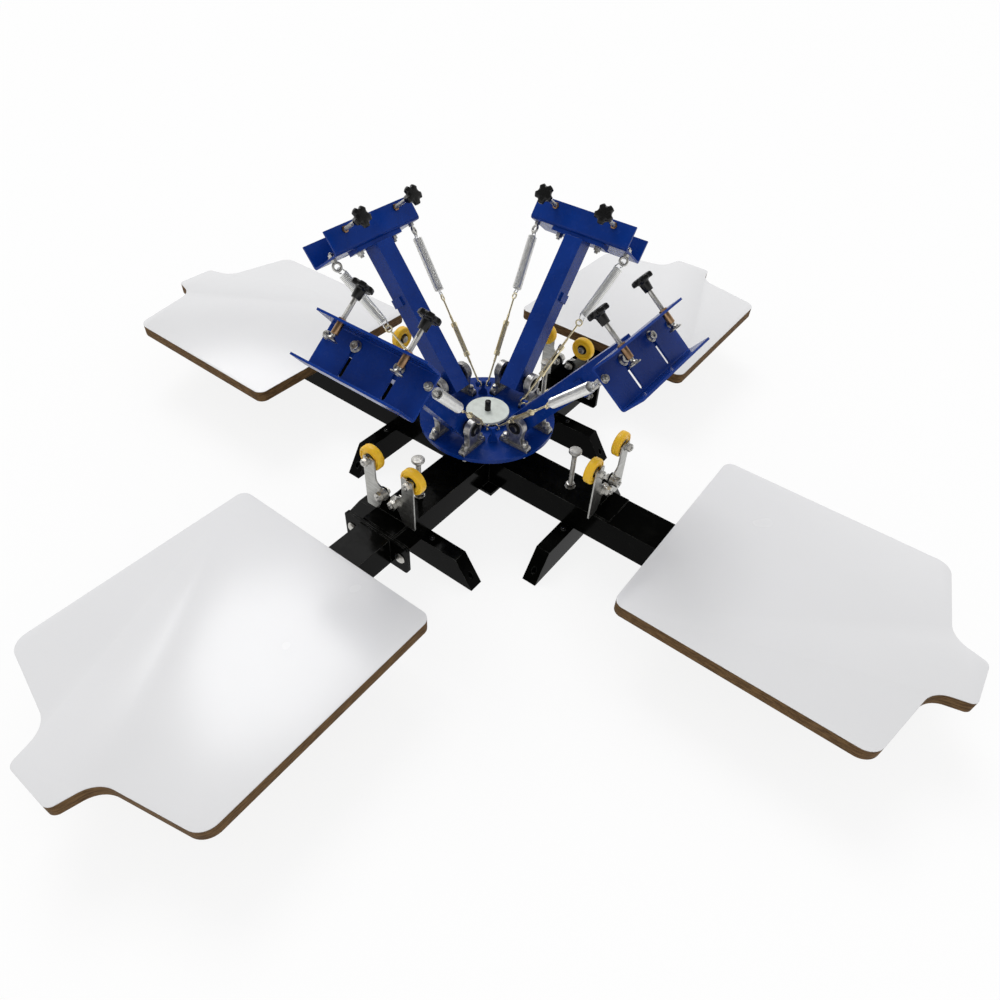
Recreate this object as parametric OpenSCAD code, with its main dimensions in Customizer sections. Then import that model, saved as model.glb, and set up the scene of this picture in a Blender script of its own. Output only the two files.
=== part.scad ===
// Four-arm tabletop screen printing press, millimetres, +Z up.
// The origin is on the bench under the spindle; the front arm points to -Y.

/* [Frame] */
// Width of the crossed frame tubes
tube_w = 80; // [76:1:90]
// Height of every frame tube
tube_h = 60; // [54:1:66]
// Wall of every frame tube
tube_wall = 2.5; // [2:0.5:4]
// Distance from the centre to the outer tube ends
frame_reach = 730; // [715:5:780]
// Distance from the centre to the bolted joint of the front and back tubes
joint_r = 323; // [323:1:340]
// Width of the bolted outer tubes
outer_tube_w = 72; // [64:1:76]
// Thickness of each joint flange
flange_t = 4; // [3:0.5:8]
// Width of each joint flange
flange_w = 155; // [145:1:170]
// Height of each joint flange past the tube, above and below
flange_lip = 3; // [2:0.5:6]
// Distance of each flange bolt from the tube's middle
flange_bolt_t = 60; // [56:1:64]
// Side of the square plate under the crossing
gusset_w = 134; // [120:1:150]
// Thickness of the plate under the crossing
gusset_t = 6; // [4:0.5:10]

/* [Feet] */
// Distance from the centre to the middle of each foot bar
foot_r = 237; // [225:1:245]
// Thickness of each foot bar
foot_t = 30; // [24:1:36]
// Height of the feet
foot_h = 60; // [50:1:70]
// Half length of a foot at its top
foot_top = 125; // [110:1:135]
// Half length of a foot on the bench
foot_bottom = 165; // [160:1:180]
// Distance of each bench bolt hole from the foot's middle
bench_hole_t = 150; // [145:1:152]
// Radius of each bench bolt hole
bench_hole_r = 4.5; // [3:0.25:5]
// Distance of each foot bolt from the foot's middle
foot_bolt_t = 54; // [53:1:62]

/* [Pallets] */
// Width of a pallet
pallet_w = 450; // [420:1:460]
// Distance from the centre to a pallet's inner edge
pallet_in = 432; // [425:1:445]
// Distance from the centre to a pallet's shoulder
pallet_shoulder = 858; // [840:1:880]
// Distance from the centre to the neck's tip
pallet_out = 955; // [945:1:980]
// Half width of the neck at its tip
neck_half = 46; // [40:1:52]
// Length of a pallet's neck
neck_out = 60; // [50:1:64]
// Thickness of a pallet with its laminate
pallet_t = 25; // [18:1:30]
// Thickness of the laminate
laminate_t = 0.8; // [0.5:0.1:1.5]
// Thickness of the battens under a pallet
batten_t = 15; // [12:0.5:20]
// Width of a batten
batten_w = 40; // [30:1:50]
// Length of a batten across the tube
batten_len = 260; // [200:5:300]
// Distance from the centre to each batten
batten_r = [500, 680];

/* [Turret] */
// Radius of the turret disc
disc_r = 136; // [132:1:145]
// Thickness of the turret disc
disc_t = 8; // [6:0.5:10]
// Height of the disc's underside above the frame tubes
disc_lift = 60; // [55:1:66]
// Radius of the spindle
spindle_r = 18; // [15:0.5:20]
// Outer radius of the bearing housing
housing_r = 45; // [40:1:50]
// Radius of the washer that holds the turret down
cap_washer_r = 43.5; // [38:0.5:46]
// Distance of the arm pivots from the turret's axis
pivot_r = 96; // [94:0.5:98]
// Height of the arm pivots above the disc
pivot_lift = 46; // [44:0.5:48]
// Radius of each pivot shaft
shaft_r = 8; // [6:0.5:9]
// Distance of each pillow block from the arm's middle
block_t = 37; // [36:0.5:38]
// Width of a pillow block along the shaft
block_w = 14; // [12:0.5:15]
// Radius of the housing round a bearing
block_r = 20; // [18:0.5:22]
// Radius of a bearing's outer ring
bearing_r = 14; // [12:0.5:15]
// Distance of each foot bolt of a block from the shaft
block_bolt = 22; // [21:0.5:24]
// Height of the feet of a block
block_foot = 11; // [8:0.5:12]

/* [Spring anchors] */
// Distance of the spring anchors' middle from the turret's axis
tab_r = 72; // [71:0.5:74]
// Distance of each spring loop from the line midway between two arms
loop_offset = 8.5; // [8.5:0.1:9.5]
// Radius of an anchor's pins
pin_r = 3; // [2.5:0.1:3.2]

/* [Arms] */
// Angle of a raised arm above level
raised = 52; // [48:0.5:55]
// Width and height of the square arm tube
arm_w = 40; // [36:1:44]
// Wall of the arm tube
arm_wall = 2.5; // [2:0.25:4]
// Length of the arm behind its pivot
arm_tail = 26; // [20:0.5:27]
// Distance from the pivot to the end plate
arm_len = 292; // [288:0.5:294]
// Thickness of the arm's end plate
end_plate_t = 8; // [6:0.5:10]
// Width of the arm's end plate
end_plate_w = 120; // [112:1:130]

/* [Screen clamps] */
// Length of a clamp channel
channel_len = 223; // [222:1:240]
// Depth of the channel's flanges with the web
channel_depth = 47; // [46:0.5:50]
// Thickness of the channel's sheet
channel_t = 4; // [3:0.25:4.5]
// Height of the channel's top above the arm's middle
channel_up = 15; // [13:0.5:17]
// Depth of the channel's bottom below the arm's middle
channel_down = 68; // [66:0.5:70]
// Distance of each channel bolt from the arm's middle
channel_bolt_t = 45; // [40:0.5:48]
// Distance of each clamp screw from the arm's middle
screw_t = 67; // [60:0.5:72]
// Distance from the web's inner face to each clamp screw
screw_out = 36; // [28:0.5:37]
// Radius of a clamp screw
screw_r = 4; // [3:0.25:4.5]
// Radius of a star knob
knob_r = 19; // [16:0.5:21]
// Number of lobes on a star knob
knob_lobes = 5; // [5:1:7]
// Radius of a clamp screw's pad
pad_r = 11; // [8:0.5:12]

/* [Counterbalance springs] */
// Distance of each eye bolt from the arm's middle
eye_t = 105; // [104.5:0.1:105.4]
// Distance of each eye's middle behind the clamp channel
eye_back = 14; // [14:0.5:18]
// Depth of each eye below the arm's middle
eye_drop = 10; // [8:0.5:14]
// Radius of the rod and sleeve ends' thread
rod_r = 2.5; // [2:0.1:2.6]
// Radius of a spring's wire
wire_r = 1.3; // [1:0.05:1.4]
// Radius of a spring's coil to the middle of its wire
coil_r = 8.3; // [7.5:0.1:8.3]
// Curls in each spring
curls = 9; // [7:1:9]

/* [Register] */
// Distance from the centre to each roller's middle
roller_at = 275; // [273:0.5:276]
// Radius of a roller
roller_r = 25; // [23:0.5:25]
// Width of a roller
roller_w = 15; // [13:0.5:16]
// Gap between the two rollers of a pair
roller_gap = 48; // [46:0.5:49]
// Height of the rollers' axles above the frame tubes
roller_lift = 114; // [112:0.5:116]
// Thickness of the roller plates
plate_t = 3; // [2:0.5:4]
// Distance of each plate bolt from the tube's middle
plate_bolt_t = 16.5; // [15:0.5:18]
// Height of the plate bolts above the frame tubes
plate_bolt_lift = 52; // [48:0.5:56]
// Distance from the centre to each stop screw
stop_r = 209; // [205:0.5:212]
// Radius of a stop screw's head
stop_head_r = 12.5; // [11:0.5:14]

/* [Clearances] */
// Radial clearance of a shaft in its bore
fit = 0.05; // [0.03:0.01:0.1]
// Clearance between pieces that move past each other
gap = 0.3; // [0.2:0.05:0.5]

/* [Hidden] */

// Directions of the four arms; an arm's own frame has X outward and Y to its left
RIGHT = 0;
BACK = 90;
LEFT = 180;
FRONT = 270;
SIDES = [FRONT, RIGHT, BACK, LEFT];
// The two sides of an arm
FIRST = -1;
SECOND = 1;

blue = [0.07, 0.16, 0.62];
black = [0.09, 0.09, 0.1];
zinc = [0.72, 0.72, 0.7];
grey = [0.5, 0.5, 0.5];
bronze = [0.6, 0.5, 0.34];
white = [0.93, 0.93, 0.93];
fibreboard = [0.55, 0.38, 0.24];
orange = [0.95, 0.65, 0.1];

$fn = 32;
eps = 0.01;

// Heights
tube_top = foot_h + tube_h;
pallet_z = tube_top + batten_t;
pallet_top = pallet_z + pallet_t;
disc_z = tube_top + disc_lift;
disc_top = disc_z + disc_t;
pivot_z = disc_top + pivot_lift;

// Pallet outline: radii of its corners and the neck's flare
pallet_corner = 18;
shoulder_corner = 28;
neck_corner = 26;
tip_corner = 9;
neck_flare = 16;

// Spindle stack
spindle_flange_w = 92;
spindle_bolt_at = 35;
spindle_bolt_head_r = 6.5;
spindle_bolt_head_h = 4;
spindle_bolt_depth = 10;
head_room = 5;
head_room_in = 8;
housing_flare = 12;
housing_flare_h = 14;
spindle_flange_t = 6;
housing_z = tube_top + spindle_flange_t + gap;
boss_r = 35;
boss_h = 10;
boss_top = disc_top + boss_h;
cap_washer_t = 6;
cap_r = 6;
cap_h = 22;
cap_bevel = 1;

// Foot bolts and stop screws
bolt_r = 4;
hex_r = 7.5;
hex_h = 5.5;
nut_h = 6.5;
washer_r = 9;
washer_t = 1.6;
thread_past = 3;
foot_head_r = 6.5;
foot_head_h = 3;
foot_head_taper = 1.5;
foot_bolt_depth = 12;
stop_thread_r = 5;
stop_depth = 14;
stop_nut_r = 9.5;
stop_nut_h = 8;
stop_head_h = 6;
stop_flare_h = 7;
stop_flare_r = 6;
flange_slot = 8;
flange_slot_r = bolt_r + 0.5;
flange_corner = 8;
plug_in = 18;
plug_cap = 3;

// Pillow blocks
block_end = 11;
block_waist = 7;
bearing_proud = 1;

// Arm and channel
arm_end = arm_len + end_plate_t;
web_in = arm_end + channel_t;
channel_lip = arm_end + channel_depth;
eye_u = arm_end - eye_back;
screw_u = web_in + screw_out - channel_t;
slot_top = -6;
slot_bottom = -55;
slot_r = 4.5;
plate_low = arm_w / 2 + 4;
plate_high = arm_w / 2 - 9;
plate_corner = 5;
channel_head_r = 7.5;
channel_head_h = 7;
socket_r = 3.5;
socket_h = 3;
flange_inner = channel_up - channel_t;
floor_inner = -channel_down + channel_t;
sleeve_r = 6;
sleeve_len = 20;
sleeve_collar_h = 3;
sleeve_collar_r = sleeve_r + 1;
pad_t = 3;
pad_cone = 3;
pad_top = flange_inner - sleeve_len - 8;
knob_h = 10;
knob_rim = 2;
knob_z = channel_up + 56;
knob_flute_r = 7.5;
knob_flute_at = knob_r + 3;
neck_len = 17;
neck_top_r = 9;
neck_low_r = 7.5;

// Springs: geometry of the line from the anchor pin to the eye, on side s
anchor_r = (tab_r + loop_offset) / sqrt(2);
anchor_t = (tab_r - loop_offset) / sqrt(2);
// The pull is equally long with the arm up and down, and dead centre lies midway
anchor_z = pivot_z - (pivot_r - anchor_r) * tan(raised / 2 - atan(eye_drop / eye_u));
function arm_point(p, a) =
  [pivot_r + p.x * cos(a) - p.z * sin(a), p.y, pivot_z + p.x * sin(a) + p.z * cos(a)];
function anchor(s) = [anchor_r, s * anchor_t, anchor_z];
function eye(s, a) = arm_point([eye_u, s * eye_t, -eye_drop], a);
function unit(v) = v / norm(v);
function pull(s, a) = unit(eye(s, a) - anchor(s));
function pull_tilt(s) = acos(pull(s, raised).z);
function pull_turn(s) = atan2(pull(s, raised).y, pull(s, raised).x);
pull_len = norm(eye(1, raised) - anchor(1));
// Two directions square to the pull, as the line's own X and Y
function line_x(s) = let (b = pull_tilt(s), c = pull_turn(s))
  [cos(b) * cos(c), cos(b) * sin(c), -sin(b)];
function line_y(s) = [-sin(pull_turn(s)), cos(pull_turn(s)), 0];
function roll_to(s, v) = atan2(v * line_y(s), v * line_x(s));
// The swing axis of the pull, and the direction square to the eye's plane
function swing(s) = unit(cross(pull(s, raised), pull(s, 0)));
function eye_plane(s) = unit(cross([cos(raised), 0, sin(raised)], pull(s, raised)));
function pull_in_arm(s) = let (d = -pull(s, raised))
  [d.x * cos(raised) + d.z * sin(raised), d.y, d.z * cos(raised) - d.x * sin(raised)];

// Tabs and pins: a tab's two pins run from their pulls' swing axes to its middle
tab_t = 6;
tab_half = 10;
tab_neck = 3.5;
tab_shoulder = 9;
pin_end = 6;
pin_head_t = 1.6;
pin_head_r = pin_r + 2.5;
tab_bevel = 2;
tab_taper = 6;
tab_over = 1.5;
pin_run = (anchor_r - anchor_t) / (swing(1).y - swing(1).x);
tab_top = anchor(1) + pin_run * swing(1);

// Loops and rings on the pull line
loop_wire = 1.3;
loop_r = 5.7;
ring_wire = 1.6;
ring_r = 6;
hook_r = 5;
eye_ring_r = 7.5;
eye_wire = 2.5;
eye_shank_r = 3;
eye_shank_out = 9;
eye_nut_r = 6;
eye_nut_h = 5;
eye_lock_r = 6.5;
eye_lock_h = 6;
sleeve_at = 61;
sleeve_to = 134;
sleeve_body_r = 5;
sleeve_hex_r = 7;
sleeve_hex_h = 9;
sight_w = 3.6;
sight_end = 6;
thread_in = 12;
ring_at = 188;
link_low = ring_r - ring_wire - wire_r - gap;
hook_low = ring_at + link_low + hook_r;
link_high = eye_ring_r - eye_wire - wire_r - gap;
hook_high = pull_len - link_high - hook_r;
coil_lead = 9;
coil_low = hook_low + coil_lead;
coil_high = hook_high - coil_lead;
coil_pitch = (coil_high - coil_low) / curls;

// Register hardware
axle_z = tube_top + roller_lift;
axle_t = roller_gap / 2 + roller_r;
hub_w = 11;
hub_r = 11;
axle_r = 4;
axle_past = 12;
hub_shield = 1.5;
hub_shield_t = 1.6;
hub_recess = 2;
plate_r = roller_at + roller_w / 2 + 2.5;
leg_t = 4;
base_t = 4;
leg_w = 59;
bracket_in = 2;
ear_r = 13;
ear_notch = ear_r - 2;
plate_bolt_z = tube_top + plate_bolt_lift;
plate_foot = tube_top + base_t + gap;
plate_over = 9;
plate_top = axle_z + plate_over;
upright_in = axle_t - 17;
upright_out = axle_t + 10;
upright_bend = 14;
upright_bend_z = plate_bolt_z + 20;
upright_foot = 12;
lock_nut_h = 5;
lock_nut_r = hex_r + 0.5;
upright_slot = 4.6;
guide_half = roller_gap / 2 - gap;
guide_u = roller_at - pivot_r;
guide_w = 18;
guide_t = 6;
guide_up = 6;
guide_bevel = 4;
stop_top = pivot_z - arm_w / 2 - gap;

// Flat outlines: each point is x, y and the radius of its corner
function corner(a, b, c, r, n) =
  let (
    u = unit(a - b),
    v = unit(c - b),
    half = acos(u * v) / 2,
    mid = b + unit(u + v) * r / sin(half),
    p = b + u * r / tan(half),
    q = b + v * r / tan(half),
    start = atan2(p.y - mid.y, p.x - mid.x),
    turn = (atan2(q.y - mid.y, q.x - mid.x) - start + 540) % 360 - 180
  )
  [for (i = [0 : n]) mid + r * [cos(start + turn * i / n), sin(start + turn * i / n)]];
function flat(p) = [p.x, p.y];
function rounded(pts, n = 6) =
  let (m = len(pts))
  [for (i = [0 : m - 1])
    each pts[i].z > 0
      ? corner(flat(pts[(i + m - 1) % m]), flat(pts[i]), flat(pts[(i + 1) % m]), pts[i].z, n)
      : [flat(pts[i])]];
function mirrored(pts) =
  concat(pts, [for (i = [len(pts) - 1 : -1 : 0]) [pts[i].x, -pts[i].y, pts[i].z]]);

// Places
module at(side) { rotate([0, 0, side]) children(); }
module each_arm() { for (side = SIDES) at(side) children(); }
module both_sides() {
  children();
  mirror([0, 1, 0]) children();
}
module on_arm() { translate([pivot_r, 0, pivot_z]) rotate([0, -raised, 0]) children(); }
module on_pull(s) {
  translate(anchor(s)) rotate([0, pull_tilt(s), pull_turn(s)]) children();
}
module along_x() { rotate([0, 90, 0]) children(); }
module along_y() { rotate([-90, 0, 0]) children(); }
// A flat shape in Y and Z, extruded along X from x
module slab_x(x, t) {
  translate([x, 0, 0]) rotate([90, 0, 90]) linear_extrude(t) children();
}
// A flat shape in X and Z, extruded along Y, centred
module slab_y(w) {
  translate([0, w / 2, 0]) rotate([90, 0, 0]) linear_extrude(w) children();
}
module bar(x, y, z) {
  translate([x[0], y[0], z[0]]) cube([x[1] - x[0], y[1] - y[0], z[1] - z[0]]);
}
module torus(major, minor) {
  rotate_extrude($fn = 32) translate([major, 0]) circle(minor, $fn = 16);
}

// A hexagon bolt and its nut, head down at z = 0 and nut from grip up
module bolt(grip, r = bolt_r, head = hex_r) {
  translate([0, 0, -hex_h]) cylinder(h = hex_h, r = head, $fn = 6);
  cylinder(h = grip + nut_h + thread_past, r = r);
  translate([0, 0, grip]) cylinder(h = nut_h, r = head, $fn = 6);
}

// Sweep of a round wire along points, with a normal carried from ring to ring
function tangent(p, i) = unit(p[min(i + 1, len(p) - 1)] - p[max(i - 1, 0)]);
function carried(v, t) = unit(v - (v * t) * t);
function normals(p, first) =
  [for (i = 0, v = carried(first, tangent(p, 0)); i < len(p);
    i = i + 1, v = i < len(p) ? carried(v, tangent(p, i)) : v) v];
function ring(p, t, v, r, sides) =
  let (w = cross(t, v))
  [for (k = [0 : sides - 1]) p + r * (v * cos(360 * k / sides) + w * sin(360 * k / sides))];
module wire(p, r, first, sides = 6) {
  v = normals(p, first);
  pts = [for (i = [0 : len(p) - 1]) each ring(p[i], tangent(p, i), v[i], r, sides)];
  last = (len(p) - 1) * sides;
  walls = [for (i = [0 : len(p) - 2], k = [0 : sides - 1])
    let (a = i * sides + k, b = i * sides + (k + 1) % sides)
    each [[a, a + sides, b], [b, a + sides, b + sides]]];
  starts = [for (k = [1 : sides - 2]) [0, k, k + 1]];
  ends = [for (k = [1 : sides - 2]) [last, last + k + 1, last + k]];
  polyhedron(points = pts, faces = concat(walls, starts, ends), convexity = 10);
}

// A spring's wire: a hook, a lead to the coil, the curls, and the same back
function hook_points(z, up) =
  [for (a = [-138 : 38 : 90]) [hook_r * sin(a), 0, z - up * hook_r * cos(a)]];
function lead_point(z, up) = [coil_r * 0.8, 0, z - up * coil_lead * 0.36];
function curl_points() =
  [for (i = [0 : curls * 8])
    [coil_r * cos(i * 45), coil_r * sin(i * 45), coil_low + coil_pitch * i / 8]];
function reversed(p) = [for (i = [len(p) - 1 : -1 : 0]) p[i]];
function spring_points() =
  concat(
    hook_points(hook_low, 1), [lead_point(coil_low, 1)],
    curl_points(),
    [lead_point(coil_high, -1)], reversed(hook_points(hook_high, -1))
  );
// Least gap between stretches of the wire that are half a curl or more apart
function least_gap(p) =
  min([for (i = [0 : len(p) - 6], j = [i + 5 : len(p) - 1]) norm(p[i] - p[j])]) - 2 * wire_r;
echo(least_spring_gap = least_gap(spring_points()));
echo(pull_line = pull_len, swing_angle = acos(pull(1, raised) * pull(1, 0)));

// Frame
module tube_x(from, to, w) {
  difference() {
    bar([from, to], [-w / 2, w / 2], [foot_h, tube_top]);
    bar([from - eps, to + eps], [-w / 2 + tube_wall, w / 2 - tube_wall],
      [foot_h + tube_wall, tube_top - tube_wall]);
  }
}
module flange_shape() {
  difference() {
    polygon(rounded([
      [flange_w / 2, foot_h - flange_lip, flange_corner],
      [flange_w / 2, tube_top + flange_lip, flange_corner],
      [-flange_w / 2, tube_top + flange_lip, flange_corner],
      [-flange_w / 2, foot_h - flange_lip, flange_corner]
    ]));
    for (t = [-flange_bolt_t, flange_bolt_t]) translate([t, foot_h + tube_h / 2]) {
      for (z = [-flange_slot / 2, flange_slot / 2]) translate([0, z]) circle(flange_slot_r);
      square([2 * flange_slot_r, flange_slot], center = true);
    }
  }
}
module register_bracket() {
  bar([plate_r - leg_t, joint_r - bracket_in],
    [-tube_w / 2 + bracket_in, tube_w / 2 - bracket_in], [tube_top - eps, tube_top + base_t]);
  difference() {
    union() {
      bar([plate_r - leg_t, plate_r], [-leg_w / 2, leg_w / 2],
        [tube_top - eps, plate_bolt_z]);
      for (t = [-plate_bolt_t, plate_bolt_t])
        translate([plate_r - leg_t, t, plate_bolt_z]) along_x() cylinder(h = leg_t, r = ear_r);
    }
    for (t = [-plate_bolt_t, plate_bolt_t])
      translate([plate_r - leg_t - eps, t, plate_bolt_z]) along_x()
        cylinder(h = leg_t + 2 * eps, r = bolt_r + fit);
    translate([plate_r - leg_t - eps, 0, plate_bolt_z + ear_r / 2]) along_x()
      cylinder(h = leg_t + 2 * eps, r = ear_notch);
  }
}
module spindle_bolt_holes(h) {
  for (x = [-1, 1], y = [-1, 1])
    translate([x * spindle_bolt_at, y * spindle_bolt_at, h])
      cylinder(h = 30, r = bolt_r + fit, center = true);
}
module cross_frame() {
  color(black) difference() {
    union() {
      tube_x(-frame_reach, frame_reach, tube_w);
      for (side = [FRONT, BACK]) at(side) {
        tube_x(tube_w / 2 - eps, joint_r, tube_w);
        slab_x(joint_r, flange_t) flange_shape();
      }
      bar([-gusset_w / 2, gusset_w / 2], [-gusset_w / 2, gusset_w / 2],
        [foot_h - gusset_t, foot_h + eps]);
      each_arm() register_bracket();
    }
    for (side = [FRONT, BACK]) at(side)
      bar([joint_r - 1, joint_r + flange_t + 1],
        [-tube_w / 2 + tube_wall, tube_w / 2 - tube_wall],
        [foot_h + tube_wall, tube_top - tube_wall]);
    each_arm() translate([stop_r, 0, tube_top])
      cylinder(h = 3 * tube_wall, r = stop_thread_r + fit, center = true);
    spindle_bolt_holes(tube_top);
  }
}
module outer_tubes() {
  start = joint_r + flange_t;
  color(black) for (side = [FRONT, BACK]) at(side) difference() {
    union() {
      slab_x(start, flange_t) flange_shape();
      tube_x(start + flange_t - eps, frame_reach, outer_tube_w);
    }
    bar([start - 1, start + flange_t + 1],
      [-outer_tube_w / 2 + tube_wall, outer_tube_w / 2 - tube_wall],
      [foot_h + tube_wall, tube_top - tube_wall]);
  }
}
module plug(w) {
  bar([frame_reach - plug_in, frame_reach + eps],
    [-w / 2 + tube_wall + fit, w / 2 - tube_wall - fit],
    [foot_h + tube_wall + fit, tube_top - tube_wall - fit]);
  slab_x(frame_reach, plug_cap) polygon(rounded([
    [w / 2, foot_h, 4], [w / 2, tube_top, 4], [-w / 2, tube_top, 4], [-w / 2, foot_h, 4]
  ]));
}
module tube_plugs() {
  color(black) {
    at(RIGHT) plug(tube_w);
    at(LEFT) plug(tube_w);
    at(FRONT) plug(outer_tube_w);
    at(BACK) plug(outer_tube_w);
  }
}
module foot() {
  difference() {
    slab_x(foot_r - foot_t / 2, foot_t)
      polygon([[-foot_bottom, 0], [foot_bottom, 0], [foot_top, foot_h], [-foot_top, foot_h]]);
    bar([foot_r - foot_t / 2 + tube_wall, foot_r + foot_t / 2 - tube_wall],
      [-foot_top + 4, foot_top - 4], [-eps, foot_h - tube_wall]);
    both_sides() translate([foot_r, bench_hole_t, -eps]) cylinder(h = foot_h, r = bench_hole_r);
    both_sides() translate([foot_r, foot_bolt_t, 0]) cylinder(h = 3 * foot_h, r = bolt_r + fit);
  }
}
module feet() { color(black) each_arm() foot(); }

// Fasteners of the frame
module flange_bolt() {
  translate([joint_r, flange_bolt_t, foot_h + tube_h / 2]) along_x() bolt(2 * flange_t);
}
module foot_bolt() {
  translate([foot_r, foot_bolt_t, foot_h]) {
    cylinder(h = foot_head_h, r1 = foot_head_r, r2 = foot_head_r - foot_head_taper);
    translate([0, 0, -tube_wall - foot_bolt_depth])
      cylinder(h = foot_bolt_depth + tube_wall + 1, r = bolt_r);
  }
}
module stop_screw() {
  head_z = stop_top - stop_head_h;
  translate([stop_r, 0, 0]) {
    translate([0, 0, tube_top - stop_depth])
      cylinder(h = head_z - tube_top + stop_depth, r = stop_thread_r);
    translate([0, 0, tube_top]) cylinder(h = stop_nut_h, r = stop_nut_r, $fn = 6);
    translate([0, 0, head_z - stop_flare_h])
      cylinder(h = stop_flare_h, r1 = stop_flare_r, r2 = stop_head_r, $fn = 40);
    translate([0, 0, head_z]) cylinder(h = stop_head_h, r = stop_head_r, $fn = 40);
  }
}
module plate_bolt() {
  translate([plate_r - leg_t, plate_bolt_t, plate_bolt_z]) along_x() {
    bolt(leg_t + plate_t);
    translate([0, 0, leg_t + plate_t]) cylinder(h = washer_t, r = washer_r);
    translate([0, 0, leg_t + plate_t + nut_h]) cylinder(h = lock_nut_h, r = lock_nut_r, $fn = 6);
  }
}
module roller_axle() {
  hub_in = roller_at - hub_w / 2 - gap;
  hub_out = roller_at + hub_w / 2 + gap;
  translate([hub_in, axle_t, axle_z]) along_x() {
    translate([0, 0, -hex_h]) cylinder(h = hex_h, r = hex_r, $fn = 6);
    translate([0, 0, -eps]) cylinder(h = plate_r + plate_t + axle_past - hub_in, r = axle_r);
    translate([0, 0, hub_out - hub_in]) cylinder(h = plate_r - hub_out, r = axle_r + 2);
    translate([0, 0, plate_r + plate_t - hub_in]) {
      cylinder(h = washer_t, r = washer_r);
      cylinder(h = nut_h + washer_t, r = hex_r, $fn = 6);
    }
  }
}
module spindle_bolt() {
  translate([spindle_bolt_at, spindle_bolt_at, tube_top + spindle_flange_t]) {
    cylinder(h = spindle_bolt_head_h, r = spindle_bolt_head_r, $fn = 6);
    translate([0, 0, -spindle_flange_t - spindle_bolt_depth])
      cylinder(h = spindle_flange_t + spindle_bolt_depth + 1, r = bolt_r);
  }
}
module frame_bolts() {
  color(zinc) {
    for (side = [FRONT, BACK]) at(side) both_sides() flange_bolt();
    each_arm() both_sides() foot_bolt();
    each_arm() stop_screw();
    each_arm() both_sides() plate_bolt();
    each_arm() both_sides() roller_axle();
  }
}

// Spindle, fixed to the frame, with the washer and cap that hold the turret
module spindle() {
  color(black) difference() {
    union() {
      bar([-spindle_flange_w / 2, spindle_flange_w / 2],
        [-spindle_flange_w / 2, spindle_flange_w / 2], [tube_top, tube_top + spindle_flange_t]);
      translate([0, 0, tube_top]) cylinder(h = boss_top + gap - tube_top, r = spindle_r);
    }
    spindle_bolt_holes(tube_top + spindle_flange_t);
  }
  color(white) translate([0, 0, boss_top + gap]) cylinder(h = cap_washer_t, r = cap_washer_r, $fn = 64);
  color(black) translate([0, 0, boss_top + gap + cap_washer_t]) {
    cylinder(h = cap_h - cap_bevel, r = cap_r);
    translate([0, 0, cap_h - cap_bevel]) cylinder(h = cap_bevel, r1 = cap_r, r2 = cap_r - cap_bevel);
  }
  color(zinc) for (x = [-1, 1], y = [-1, 1])
    mirror([x > 0 ? 0 : 1, 0, 0]) mirror([0, y > 0 ? 0 : 1, 0]) spindle_bolt();
}

// Pallets
module pallet_shape() {
  polygon(rounded(mirrored([
    [pallet_in, pallet_w / 2, pallet_corner], [pallet_shoulder, pallet_w / 2, shoulder_corner],
    [pallet_out - neck_out, neck_half + neck_flare, neck_corner], [pallet_out, neck_half, tip_corner]
  ])));
}
module pallet(side) {
  color(fibreboard) at(side) translate([0, 0, pallet_z])
    linear_extrude(pallet_t - laminate_t) pallet_shape();
  color(white) at(side) translate([0, 0, pallet_top - laminate_t])
    linear_extrude(laminate_t) pallet_shape();
}
module pallet_battens() {
  color(fibreboard) each_arm() for (r = batten_r)
    bar([r - batten_w / 2, r + batten_w / 2], [-batten_len / 2, batten_len / 2],
      [tube_top, pallet_z]);
}

// Roller plates: an upright with an open slot, and a lobe that is bolted to the bracket
module roller_plate_shape() {
  difference() {
    union() {
      polygon(rounded([
        [upright_out, plate_foot, 3], [upright_out, plate_top, 4],
        [upright_in, plate_top, 4], [upright_in, upright_bend_z, upright_bend],
        [plate_bolt_t, plate_bolt_z + ear_r, 1], [plate_bolt_t, plate_bolt_z - ear_r, 1],
        [upright_in, plate_foot, upright_foot]
      ]));
      translate([plate_bolt_t, plate_bolt_z]) circle(ear_r);
    }
    translate([plate_bolt_t, plate_bolt_z]) circle(bolt_r + fit);
    translate([axle_t, axle_z]) circle(upright_slot);
    translate([axle_t - upright_slot, axle_z]) square([2 * upright_slot, plate_top]);
  }
}
module roller_plates() {
  color(zinc) each_arm() both_sides() slab_x(plate_r, plate_t) roller_plate_shape();
}

// Rollers: a tyre on a ball bearing
module roller(side, s) {
  at(side) translate([roller_at, s * axle_t, axle_z]) along_x() {
    color(orange) rotate_extrude($fn = 64) polygon(rounded([
      [hub_r, -roller_w / 2 + 2, 0], [hub_r + 3, -roller_w / 2, 1],
      [roller_r, -roller_w / 2, 3], [roller_r, roller_w / 2, 3],
      [hub_r + 3, roller_w / 2, 1], [hub_r, roller_w / 2 - 2, 0]
    ]));
    color(grey) difference() {
      cylinder(h = hub_w, r = hub_r - eps, center = true);
      cylinder(h = hub_w + 1, r = axle_r + fit, center = true);
      for (z = [-1, 1]) translate([0, 0, z * hub_w / 2]) difference() {
        cylinder(h = hub_shield_t, r = hub_r - hub_shield, center = true);
        cylinder(h = hub_shield_t + 1, r = axle_r + hub_recess, center = true);
      }
    }
  }
}

// Turret
module block_bolt_holes(z, h, r) {
  each_arm() both_sides() for (x = [-block_bolt, block_bolt])
    translate([pivot_r + x, block_t, z]) cylinder(h = h, r = r);
}
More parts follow.
